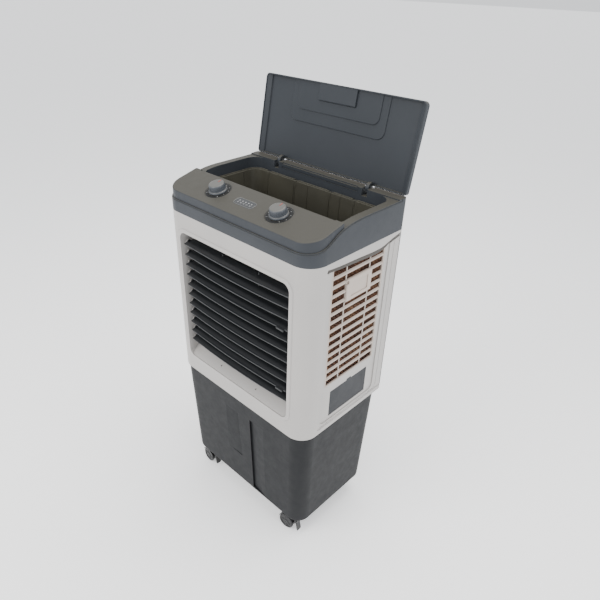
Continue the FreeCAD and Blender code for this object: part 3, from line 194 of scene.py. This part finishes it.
MATERIALS = {
    "tank": plastic(
        "tank_plastic", (0.0115, 0.0122, 0.0138), 0.52, tint=(0.0098, 0.0105, 0.012), grain=0.6, gloss=0.16
    ),
    "shell": plastic(
        "shell_plastic", (0.031, 0.035, 0.0415), 0.46, tint=(0.0275, 0.0315, 0.037), painted_top_light=TOP_LIGHT_OLIVE, gloss=0.22
    ),
    "light": plastic(
        "light_plastic", (0.42, 0.4, 0.382), 0.36, tint=(0.395, 0.38, 0.365), grain=0.3, wear=0.05
    ),
    "grille": plastic(
        "grille_plastic", (0.47, 0.405, 0.355), 0.4, tint=(0.43, 0.365, 0.315), grain=0.3, wear=0.08
    ),
    "louvre": plastic("louvre_plastic", (0.0155, 0.017, 0.019), 0.38, wear=0.3, edge=0.0005, gloss=0.35),
    # Lighter copy of the louvre plastic: a painted highlight along the blades' front edges
    "lip": plastic("louvre_lip_painted_highlight", (0.028, 0.03, 0.033), 0.34, wear=0.3, edge=0.0003),
    "inner": plastic("inner_plastic", (0.008, 0.0085, 0.009), 0.55, gloss=0.2),
    "tray": plastic("tray_plastic", (0.05, 0.047, 0.035), 0.42, tint=(0.04, 0.038, 0.029), gloss=0.35),
    "caster": plastic("caster_plastic", (0.012, 0.012, 0.013), 0.3),
    "rubber": plastic("wheel_rubber", (0.01, 0.01, 0.011), 0.42),
    "hose": plastic("hose_rubber", (0.3, 0.3, 0.29), 0.5),
    "window": plastic("window_plastic", (0.02, 0.021, 0.023), 0.2, coat=0.5),
    # Lighter top of the knobs and bezel is painted light from above
    "knob": plastic("knob_plastic", (0.06, 0.067, 0.078), 0.38, painted_top_light=(0.095, 0.093, 0.085)),
    "flap": plastic("flap_plastic", (0.026, 0.028, 0.032), 0.5, gloss=0.2),
    # Taupe for the rail seal; on the shoulder strip the same colour is painted shadow in the groove
    "strip": plastic("seal_rubber_and_shadow_strip", (0.075, 0.068, 0.061), 0.6, gloss=0.25),
    "mark": plastic("mark_paint", (0.3, 0.3, 0.3), 0.5, grain=0.2),
    "pointer": plastic("pointer_paint", (0.28, 0.05, 0.035), 0.45, grain=0.2),
    "steel": metal("shaft_steel", (0.6, 0.6, 0.61), 0.3),
    "paint": metal("motor_paint", (0.3, 0.31, 0.32), 0.42),
    "pad": pad_material(),
}

NODE_LOOKS = {
    "tank": ["water_tank", "drain_plug"],
    "shell": ["top_shell", "rear_cover", "lid", "control_panel"],
    "knob": ["knob_left", "knob_right"],
    "flap": ["fill_flap"],
    "light": ["front_housing", "blank_plate_left"],
    "grille": ["side_grille_right", "side_grille_left"],
    "louvre": [name for name in NODES if name.startswith(("louvre", "vane"))],
    "inner": ["outlet_frame", "fan_shroud", "impeller", "swing_motor", "cord_gland", "rotary_switches"]
    + ["water_pump", "water_distributor"],
    "tray": ["ice_tray"],
    "caster": [name for name in NODES if name.endswith(("_yoke", "_brake"))],
    "rubber": [name for name in NODES if name.endswith("_wheels")],
    "hose": ["riser_pipe"],
    "window": ["indicator_window"],
    "steel": ["motor_shaft", "hinge_pins", "casing_screws"],
    "paint": ["fan_motor", "motor_bracket"],
    "pad": ["rear_pad", "side_pad_left", "side_pad_right"],
}

for look, names in NODE_LOOKS.items():
    for name in names:
        NODES[name].data.materials.clear()
        NODES[name].data.materials.append(MATERIALS[look])

# ---------------------------------------------------------------- pieces


def piece(name, points, faces, look, body, smooth=38.0, stands_for=()):
    """Mesh object in the frame's metres, with its look, that rides a body and may stand for CAD nodes."""
    mesh = bmesh.new()
    made = [mesh.verts.new(point) for point in points]
    for face in faces:
        mesh.faces.new([made[index] for index in face])
    bmesh.ops.recalc_face_normals(mesh, faces=mesh.faces)
    data = bpy.data.meshes.new(name)
    mesh.to_mesh(data)
    mesh.free()
    data.shade_smooth()
    data.set_sharp_from_angle(angle=math.radians(smooth))
    data.materials.append(MATERIALS[look])
    obj = bpy.data.objects.new(name, data)
    bpy.context.collection.objects.link(obj)
    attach(obj, body)
    if stands_for:
        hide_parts(*stands_for)
    return obj


class Shape:
    """Points and faces gathered from several simple parts of one piece."""

    def __init__(self):
        self.points = []
        self.faces = []

    def add(self, points, faces):
        start = len(self.points)
        self.points += points
        self.faces += [[index + start for index in face] for face in faces]

    def rings(self, rings, capped=True):
        """Skin over a run of closed rings that all have the same number of points."""
        count = len(rings[0])
        points = [point for ring in rings for point in ring]
        faces = []
        for row in range(len(rings) - 1):
            here, above = row * count, (row + 1) * count
            for column in range(count):
                ahead = (column + 1) % count
                faces.append([here + column, here + ahead, above + ahead, above + column])
        if capped:
            faces.append(list(range(count)))
            faces.append(list(range((len(rings) - 1) * count, len(rings) * count)))
        self.add(points, faces)

    def lathe(self, profile, centre, axis, sides=64, wobble=None, closed=False):
        """Turned part: (radius, height) pairs in millimetres about an axis."""
        axis = Vector(axis).normalized()
        across = axis.orthogonal().normalized()
        up = axis.cross(across)
        rings = []
        for radius, height in profile:
            ring = []
            for index in range(sides):
                turn = 2 * math.pi * index / sides
                reach = (radius + (wobble(turn, height) if wobble else 0)) * MM
                aside = across * reach * math.cos(turn)
                ring.append(centre + axis * height * MM + aside + up * reach * math.sin(turn))
            rings.append(ring)
        if closed:
            rings.append(rings[0])
        self.rings(rings, capped=not closed)

    def block(self, centre, axes, sizes):
        """Small box with its own axes; sizes in millimetres."""
        points = []
        for x in (-0.5, 0.5):
            for y in (-0.5, 0.5):
                for z in (-0.5, 0.5):
                    points.append(
                        centre
                        + axes[0] * x * sizes[0] * MM
                        + axes[1] * y * sizes[1] * MM
                        + axes[2] * z * sizes[2] * MM
                    )
        self.add(points, [[0, 1, 3, 2], [4, 6, 7, 5], [0, 4, 5, 1], [2, 3, 7, 6], [0, 2, 6, 4], [1, 5, 7, 3]])


def smooth_curve(stops, steps):
    """Catmull-Rom curve through the stops."""
    padded = [stops[0]] + stops + [stops[-1]]
    out = []
    for index in range(1, len(padded) - 2):
        p0, p1, p2, p3 = (Vector(padded[index + shift]) for shift in (-1, 0, 1, 2))
        for step in range(steps):
            t = step / steps
            slope = (p2 - p0) * t
            bend = (2 * p0 - 5 * p1 + 4 * p2 - p3) * t**2
            twist = (3 * p1 - p0 - 3 * p2 + p3) * t**3
            out.append(0.5 * (2 * p1 + slope + bend + twist))
    out.append(Vector(padded[-2]))
    return out


# ---------------------------------------------------------------- pads

PAD_PITCH = 7.0 * MM
PAD_WAVE = 14.0 * MM
PAD_PAPER = 0.7 * MM
PAD_STEP = 2.8 * MM
PAD_COLUMNS = 5
FLUTE_LEANS = (-0.5, 0.9)


def corrugated_pad(node, body, flow, stack):
    """Cooling pad of upright corrugated paper sheets whose flutes lean both ways in turn."""
    low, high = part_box(node)
    inset = PAD_PITCH / 2 + PAD_PAPER
    span = high[stack] - low[stack] - 2 * inset
    sheets = int(span / PAD_PITCH)
    pitch = span / sheets
    amplitude = pitch / 2 - PAD_PAPER * 0.3
    columns, rows = PAD_COLUMNS, int((high.z - low.z) / PAD_STEP)
    shape = Shape()
    for sheet in range(sheets + 1):
        lean = FLUTE_LEANS[sheet % 2]
        points, faces = [], []
        for row in range(rows + 1):
            z = low.z + (high.z - low.z) * row / rows
            for column in range(columns + 1):
                along = (high[flow] - low[flow]) * column / columns
                phase = 2 * math.pi * (z + lean * along) / PAD_WAVE
                point = Vector((0, 0, z))
                point[flow] = low[flow] + along
                point[stack] = low[stack] + inset + sheet * pitch + amplitude * math.sin(phase)
                points.append(point)
        for row in range(rows):
            for column in range(columns):
                start = row * (columns + 1) + column
                faces.append([start, start + 1, start + columns + 2, start + columns + 1])
        shape.add(points, faces)
    pad = piece(f"{node}_sheets", shape.points, shape.faces, "pad", body, 60, (node,))
    paper = pad.modifiers.new("paper", "SOLIDIFY")
    paper.thickness = PAD_PAPER
    paper.offset = 0.0


corrugated_pad("side_pad_right", "filter_right", 0, 1)
corrugated_pad("side_pad_left", "filter_left", 0, 1)
corrugated_pad("rear_pad", "cabinet", 1, 0)

# ---------------------------------------------------------------- louvres

LOUVRE_COUNT = 11
LOUVRE_TILT = math.radians(8)
BOW_RADIUS = 3244.0
BLADE_FRONT = -25
BLADE_RISE = 0.13
LIP_HALF_SPAN = 211
LIP_FRONT = -23.2
LIP_UP = -0.5
LIP_HALF_DEPTH = 1.15
LIP_HALF_HEIGHT = 1.75
LIP_END_SHARE = 0.55
LIP_STATIONS = 40
LIP_POINTS = 12
OUTLET_WALL_X = 0.2171
BEARING_PROFILE = [(3.6, 0), (3.6, 2.6), (4.1, 3.1), (6.0, 3.1), (6.7, 2.5), (6.9, 0)]


def louvre_lip(number):
    """Rounded lip along the blade's bowed front edge, slimmer at both ends."""
    name = f"louvre_{number:02d}"
    pivot = Vector(JOINTS[f"{name}_tilt"]["pos_m"])

    def place(x, along, up):
        y = along * math.cos(LOUVRE_TILT) - up * math.sin(LOUVRE_TILT)
        z = along * math.sin(LOUVRE_TILT) + up * math.cos(LOUVRE_TILT)
        return pivot + Vector((x, y, z)) * MM

    shape = Shape()
    rings = []
    for station in range(LIP_STATIONS + 1):
        x = -LIP_HALF_SPAN + 2 * LIP_HALF_SPAN * station / LIP_STATIONS
        along = LIP_FRONT + x * x / (2 * BOW_RADIUS)
        up = LIP_UP + (along - BLADE_FRONT) * BLADE_RISE
        slim = LIP_END_SHARE if station in (0, LIP_STATIONS) else 1.0
        ring = []
        for index in range(LIP_POINTS):
            turn = 2 * math.pi * index / LIP_POINTS
            ahead = along + LIP_HALF_DEPTH * slim * math.cos(turn)
            ring.append(place(x, ahead, up + LIP_HALF_HEIGHT * slim * math.sin(turn)))
        rings.append(ring)
    shape.rings(rings)
    # The lip's lighter plastic is a painted highlight on the blade's front edge
    piece(f"{name}_lip", shape.points, shape.faces, "lip", name, 50)


for number in range(1, LOUVRE_COUNT + 1):
    louvre_lip(number)


def outlet_bearings():
    """Turned bosses on the outlet's side walls, one round every louvre pin."""
    shape = Shape()
    for number in range(1, LOUVRE_COUNT + 1):
        pivot = Vector(JOINTS[f"louvre_{number:02d}_tilt"]["pos_m"])
        for side in (-1, 1):
            wall = Vector((side * OUTLET_WALL_X, pivot.y, pivot.z))
            shape.lathe(BEARING_PROFILE, wall, (-side, 0, 0), 28, closed=True)
    piece("outlet_bearings", shape.points, shape.faces, "light", "cabinet", 40)


outlet_bearings()

# ---------------------------------------------------------------- side strip, painted shadow

# Height of the strip, then y from the body's middle and z from the seam of the groove's upper edge.
SHOULDER = [
    (7.5, -119, -14.4),
    (9.2, -77, -19.0),
    (10.6, 0, -22.4),
    (11.8, 71, -26.0),
    (10.2, 105, -23.0),
    (7.0, 126, -17.0),
    (4.8, 148, -12.0),
    (3.8, 172, -8.0),
]
STRIP_GAP = 1.4
STRIP_BACK_X = 273.0
STRIP_CORNER_X = 277.6
STRIP_FACE_X = 278.4
STRIP_BEVEL = 0.9
PEG_X = 0.272
PEG_AHEAD = 0.119
PEG_DROP = 0.021
PEG_PROFILE = [(3.9, 0), (3.9, 6.6), (3.3, 7.4), (2.0, 7.6), (1.4, 7.1), (0.3, 7.0)]


def shoulder_shadow_strip(side):
    """Dark strip in the groove under the side's shoulder, with a peg at its front end: painted shadow where
    the groove lies in shade.
    """
    shape = Shape()
    rings = []
    for point in smooth_curve(SHOULDER, 8):
        height, top = point.x, point.z - STRIP_GAP
        ring = []
        for x, z in (
            (STRIP_BACK_X, top),
            (STRIP_CORNER_X, top),
            (STRIP_FACE_X, top - STRIP_BEVEL),
            (STRIP_FACE_X, top - height + STRIP_BEVEL),
            (STRIP_CORNER_X, top - height),
            (STRIP_BACK_X, top - height),
        ):
            ring.append(Vector((side * x * MM, MID_Y + point.y * MM, SEAM_Z + z * MM)))
        rings.append(ring)
    shape.rings(rings)
    peg = Vector((side * PEG_X, MID_Y - PEG_AHEAD, SEAM_Z - PEG_DROP))
    shape.lathe(PEG_PROFILE, peg, (side, 0, 0), 32)
    end = "right" if side > 0 else "left"
    piece(f"shoulder_shadow_strip_{end}", shape.points, shape.faces, "strip", f"filter_{end}", 40)


shoulder_shadow_strip(1)
shoulder_shadow_strip(-1)

# ---------------------------------------------------------------- rail seal

# (y, z) from the hinge's axis, and the x from and to which each length runs
SEAL_OUTLINE = [(1.5, 1.6), (1.5, 2.6), (2.0, 3.0), (7.0, 3.0), (7.6, 2.6), (7.8, 1.6)]
SEAL_LENGTHS = [(-268, -180), (-152, 152), (180, 268)]
SEAL_END_SLOPE = 0.5


def rail_seal():
    """Low rounded seal on the rear rail under the lid's edge, in three lengths that clear the hinges."""
    hinge = Vector(JOINTS["lid_hinge"]["pos_m"])
    foot = SEAL_OUTLINE[0][1]
    shape = Shape()
    for start, end in SEAL_LENGTHS:
        rings = []
        for x in (start, start + 1, end - 1, end):
            slope = SEAL_END_SLOPE if x in (start, end) else 0.0
            ring = []
            for y, z in SEAL_OUTLINE:
                ring.append(hinge + Vector((x, y, z - slope if z > foot else z)) * MM)
            rings.append(ring)
        shape.rings(rings)
    piece("rail_seal", shape.points, shape.faces, "strip", "cabinet", 40)


rail_seal()

# ---------------------------------------------------------------- control panel

KNOB_PROFILE = [
    (25.2, -0.8),
    (25.9, 0.0),
    (25.8, 2.2),
    (25.1, 3.9),
    (23.9, 4.8),
    (23.2, 5.0),
    (22.8, 5.6),
    (22.7, 6.6),
    (22.5, 9.0),
    (22.2, 13.0),
    (21.9, 17.0),
    (21.6, 18.6),
    (20.8, 20.3),
    (19.6, 21.3),
    (17.8, 21.8),
    (14.0, 21.9),
    (7.0, 21.6),
    (0.4, 21.5),
]
GRIP_LOW = 5.8
GRIP_HIGH = 18.0
GRIP_DEPTH = 0.28
GRIP_FLUTES = 24
POINTER_REACH = 12.8
POINTER_HEIGHT = 21.9
POINTER_SIZE = (2.2, 11.0, 0.7)
DIAL_RING_PROFILE = [(27.0, -1.45), (27.2, -1.0), (34.4, -1.0), (34.9, -1.45)]
DIAL_MARKS = 9
DIAL_SWEEP = math.radians(270)
MARK_REACH = 30.8
MARK_HEIGHT = -0.85
MARK_WIDTH = 0.9
MARK_LENGTH = 3.0
LONG_MARK_LENGTH = 4.6
MARK_THICKNESS = 0.5


def grip(turn, height):
    """Shallow flutes round the knob's barrel."""
    if not GRIP_LOW < height < GRIP_HIGH:
        return 0.0
    return GRIP_DEPTH * math.cos(GRIP_FLUTES * turn)


def knob_and_dial(side):
    """Turned knob with its pointer, and the ring and marks round it on the panel."""
    joint = JOINTS[f"knob_{side}_turn"]
    centre = Vector(joint["pos_m"])
    up = -Vector(joint["axis"]).normalized()
    right = Vector((1, 0, 0))
    rearward = up.cross(right)
    shape = Shape()
    shape.lathe(KNOB_PROFILE, centre, up, 192, grip)
    piece(f"knob_{side}_cap", shape.points, shape.faces, "knob", f"knob_{side}", 45, (f"knob_{side}",))
    mark = Shape()
    tip = centre + rearward * POINTER_REACH * MM + up * POINTER_HEIGHT * MM
    mark.block(tip, (right, rearward, up), POINTER_SIZE)
    piece(f"knob_{side}_pointer", mark.points, mark.faces, "pointer", f"knob_{side}")
    ring = Shape()
    ring.lathe(DIAL_RING_PROFILE, centre, up, 96, closed=True)
    piece(f"dial_{side}_ring", ring.points, ring.faces, "inner", "cabinet")
    marks = Shape()
    for index in range(DIAL_MARKS):
        turn = -DIAL_SWEEP / 2 + DIAL_SWEEP * index / (DIAL_MARKS - 1)
        outward = rearward * math.cos(turn) + right * math.sin(turn)
        sideways = up.cross(outward)
        length = LONG_MARK_LENGTH if index % 4 == 0 else MARK_LENGTH
        middle = centre + outward * MARK_REACH * MM + up * MARK_HEIGHT * MM
        marks.block(middle, (sideways, outward, up), (MARK_WIDTH, length, MARK_THICKNESS))
    piece(f"dial_{side}_marks", marks.points, marks.faces, "mark", "cabinet")


knob_and_dial("left")
knob_and_dial("right")


# Bezel: outline's half length, half width and corner radius, then (inset, height) across its section
BEZEL_HALF_X = 36.6
BEZEL_HALF_Y = 14.6
BEZEL_RADIUS = 11.6
BEZEL_SECTION = [(0.0, -0.2), (0.2, 0.7), (0.8, 1.2), (1.8, 1.2), (2.6, 0.7), (3.0, 0.2)]
LENS_HEIGHT = 0.45
LAMP_COUNT = 5
LAMP_PITCH = 11
LAMP_PROFILE = [(1.9, 0), (1.8, 0.5), (1.2, 0.9), (0.2, 1.05)]
LAMP_REARWARD = 3.2
LAMP_HEIGHT = 0.5
# Two painted bars in front of each lamp: distance from the window's middle, then size
LAMP_BARS = [(3.6, (6.0, 0.9, 0.2)), (5.8, (3.6, 0.7, 0.2))]
BAR_HEIGHT = 0.62


def indicator():
    """Raised bezel round the indicator window, with lamps and bars on its face."""
    low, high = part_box("indicator_window")
    up = -Vector(JOINTS["knob_left_turn"]["axis"]).normalized()
    right = Vector((1, 0, 0))
    rearward = up.cross(right)
    face = (low + high) / 2 + up * LENS_HEIGHT * MM

    def loop(inset, height):
        half_x, half_y, radius = BEZEL_HALF_X - inset, BEZEL_HALF_Y - inset, BEZEL_RADIUS - inset
        ring = []
        for corner, (sx, sy) in enumerate(((1, 1), (-1, 1), (-1, -1), (1, -1))):
            for step in range(9):
                turn = math.pi / 2 * (corner + step / 8)
                x = sx * (half_x - radius) + radius * math.cos(turn)
                y = sy * (half_y - radius) + radius * math.sin(turn)
                ring.append(face + right * x * MM + rearward * y * MM + up * height * MM)
        return ring

    bezel = Shape()
    bezel.rings([loop(*stop) for stop in BEZEL_SECTION + BEZEL_SECTION[:1]], capped=False)
    piece("indicator_bezel", bezel.points, bezel.faces, "knob", "cabinet", 50)
    lamps = Shape()
    for index in range(LAMP_COUNT):
        x = LAMP_PITCH * (index - LAMP_COUNT // 2)
        middle = face + right * x * MM
        lamps.lathe(LAMP_PROFILE, middle + rearward * LAMP_REARWARD * MM + up * LAMP_HEIGHT * MM, up, 20)
        for forward, size in LAMP_BARS:
            lamps.block(middle - rearward * forward * MM + up * BAR_HEIGHT * MM, (right, rearward, up), size)
    piece("indicator_lamps", lamps.points, lamps.faces, "mark", "cabinet", 50)


indicator()

# ---------------------------------------------------------------- casters

TYRE_PROFILE = [
    (20.6, 4.6),
    (24.8, 4.6),
    (26.3, 5.1),
    (27.0, 6.4),
    (27.0, 11.6),
    (26.4, 12.7),
    (25.0, 13.4),
    (21.6, 13.5),
    (20.6, 13.1),
]
HUB_PROFILE = [
    (3.2, 4.7),
    (20.5, 4.7),
    (20.5, 12.9),
    (19.9, 13.1),
    (19.2, 12.6),
    (18.6, 11.7),
    (16.5, 11.3),
    (9.5, 11.5),
    (8.4, 12.0),
    (7.8, 13.0),
    (6.8, 13.4),
    (4.2, 13.4),
    (3.2, 13.1),
]
SPOKES = 6
SPOKE_REACH = 13.4
SPOKE_HEIGHT = 11.9
SPOKE_SIZE = (2.0, 9.6, 1.3)


def caster_wheels(corner):
    """Tyre and spoked hub of both wheels on one axle."""
    joint = JOINTS[f"caster_{corner}_roll"]
    centre = Vector(joint["pos_m"])
    axis = Vector(joint["axis"]).normalized()
    body = f"caster_{corner}_wheels"
    tyres, hubs = Shape(), Shape()
    for side in (axis, -axis):
        tyres.lathe(TYRE_PROFILE, centre, side, 72, closed=True)
        hubs.lathe(HUB_PROFILE, centre, side, 72, closed=True)
        across = side.orthogonal().normalized()
        up = side.cross(across)
        for index in range(SPOKES):
            turn = 2 * math.pi / SPOKES * index
            outward = across * math.cos(turn) + up * math.sin(turn)
            middle = centre + side * SPOKE_HEIGHT * MM + outward * SPOKE_REACH * MM
            hubs.block(middle, (side.cross(outward), outward, side), SPOKE_SIZE)
    piece(f"{body}_tyres", tyres.points, tyres.faces, "rubber", body, 45, (body,))
    piece(f"{body}_hubs", hubs.points, hubs.faces, "caster", body, 40)


for corner in ("front_left", "front_right", "rear_left", "rear_right"):
    caster_wheels(corner)

# ---------------------------------------------------------------- fan

FAN_BLADES = 5
FAN_HUB_PROFILE = [
    (12, 22.5),
    (31, 22.5),
    (33.5, 21),
    (34, 18),
    (34, -16),
    (32.5, -20),
    (28, -23),
    (18, -24.6),
    (6, -25),
]
BLADE_STATIONS = 12
BLADE_POINTS = 20
BLADE_ROOT = 31
BLADE_LENGTH = 132.5
# Blade angles in degrees, at the root and lost or gained by the tip
ROOT_PITCH = 41
PITCH_LOSS = 21
ROOT_SWEEP = -4
SWEEP_GAIN = 10
CHORD_LEAST = 58
CHORD_SWELL = 38
TIP_CHORD_SHARE = 0.86
BLADE_HALF_THICKNESS = 1.5
BLADE_CAMBER = 5.0
BLADE_FORWARD = 4


def fan_rotor():
    """Hub with a domed nose and five twisted, cambered blades."""
    centre = Vector(JOINTS["fan_spin"]["pos_m"])
    rotor = Shape()
    rotor.lathe(FAN_HUB_PROFILE, centre, (0, 1, 0), 96)
    for blade in range(FAN_BLADES):
        spin = 2 * math.pi * blade / FAN_BLADES
        rings = []
        for station in range(BLADE_STATIONS + 1):
            share = station / BLADE_STATIONS
            radius = BLADE_ROOT + BLADE_LENGTH * share
            pitch = math.radians(ROOT_PITCH - PITCH_LOSS * share)
            chord = CHORD_LEAST + CHORD_SWELL * math.sin(math.pi * min(1.0, share * 1.15 + 0.08) / 1.6)
            if station == BLADE_STATIONS:
                chord *= TIP_CHORD_SHARE
            sweep = math.radians(SWEEP_GAIN * share + ROOT_SWEEP)
            ring = []
            for index in range(BLADE_POINTS):
                around = 2 * math.pi * index / BLADE_POINTS
                along = math.cos(around)
                taper = math.sqrt(max(0.06, 1 - along * along * 0.9))
                thick = BLADE_HALF_THICKNESS * math.sin(around) * taper
                camber = BLADE_CAMBER * (1 - along * along)
                tangent = along * chord / 2 * math.cos(pitch) - (thick + camber) * math.sin(pitch)
                axial = along * chord / 2 * math.sin(pitch) + (thick + camber) * math.cos(pitch)
                turn = spin + sweep + tangent / radius
                point = (radius * math.sin(turn), axial - BLADE_FORWARD, radius * math.cos(turn))
                ring.append(centre + Vector(point) * MM)
            rings.append(ring)
        rotor.rings(rings)
    piece("fan_rotor_blades", rotor.points, rotor.faces, "inner", "fan_rotor", 50, ("impeller",))


fan_rotor()

# ---------------------------------------------------------------- stage

FLOOR_HALF = 30.0
LENS = 32.56
SENSOR_WIDTH = 36.0
LENS_SHIFT = (0.0302, 0.0207)
# Turn from the object's axes to the lens's, as an axis times an angle in radians
LENS_TURN = Vector((2.0042, 0.8353, -0.4382))
# Place of the camera from the seam's middle, in widths of the top shell
CAMERA_OFFSET = Vector((1.7584, -1.7808, 1.0398))


def studio():
    """Pale floor, a white room and three soft lights."""
    mesh = bmesh.new()
    bmesh.ops.create_grid(mesh, x_segments=8, y_segments=8, size=FLOOR_HALF)
    data = bpy.data.meshes.new("floor")
    mesh.to_mesh(data)
    mesh.free()
    floor = bpy.data.objects.new("floor", data)
    bpy.context.collection.objects.link(floor)
    material, _, shader = new_material("floor_white")
    shader.inputs["Base Color"].default_value = (0.93, 0.93, 0.93, 1)
    shader.inputs["Roughness"].default_value = 0.9
    shader.inputs["Emission Color"].default_value = (1, 1, 1, 1)
    shader.inputs["Emission Strength"].default_value = 0.45
    data.materials.append(material)

    world = bpy.data.worlds.new("room")
    world.use_nodes = True
    background = world.node_tree.nodes["Background"]
    background.inputs["Color"].default_value = (0.95, 0.97, 1.0, 1)
    background.inputs["Strength"].default_value = 1.15
    bpy.context.scene.world = world

    def area(name, place, target, size, power, color=(1, 1, 1)):
        light = bpy.data.lights.new(name, "AREA")
        light.shape = "RECTANGLE"
        light.size, light.size_y = size
        light.energy = power
        light.color = color
        lamp = bpy.data.objects.new(name, light)
        lamp.location = place
        lamp.rotation_mode = "QUATERNION"
        lamp.rotation_quaternion = (Vector(target) - Vector(place)).to_track_quat("-Z", "Y")
        bpy.context.collection.objects.link(lamp)

    middle = (0, 0, 0.7)
    area("key_light", (-0.6, -2.6, 2.6), middle, (1.6, 1.6), 70, (1.0, 0.985, 0.96))
    area("side_light", (2.8, 0.2, 1.6), middle, (1.4, 1.8), 28)
    area("top_light", (0.3, 0.4, 3.4), middle, (2.0, 2.0), 70, (1.0, 0.98, 0.95))


def view_camera():
    """Camera high at the front right, with a slight roll."""
    camera = bpy.data.cameras.new("camera")
    camera.lens = LENS
    camera.sensor_width = SENSOR_WIDTH
    camera.shift_x, camera.shift_y = LENS_SHIFT
    rig = bpy.data.objects.new("camera", camera)
    world_to_lens = Matrix.Rotation(LENS_TURN.length, 3, LENS_TURN.normalized())
    flip = Matrix(((1, 0, 0), (0, -1, 0), (0, 0, -1)))
    rig.rotation_mode = "QUATERNION"
    rig.rotation_quaternion = (world_to_lens.transposed() @ flip).to_quaternion()
    width = SHELL_HIGH.x - SHELL_LOW.x
    rig.location = Vector((0, MID_Y, SEAM_Z)) + CAMERA_OFFSET * width
    bpy.context.collection.objects.link(rig)
    bpy.context.scene.camera = rig


studio()
view_camera()
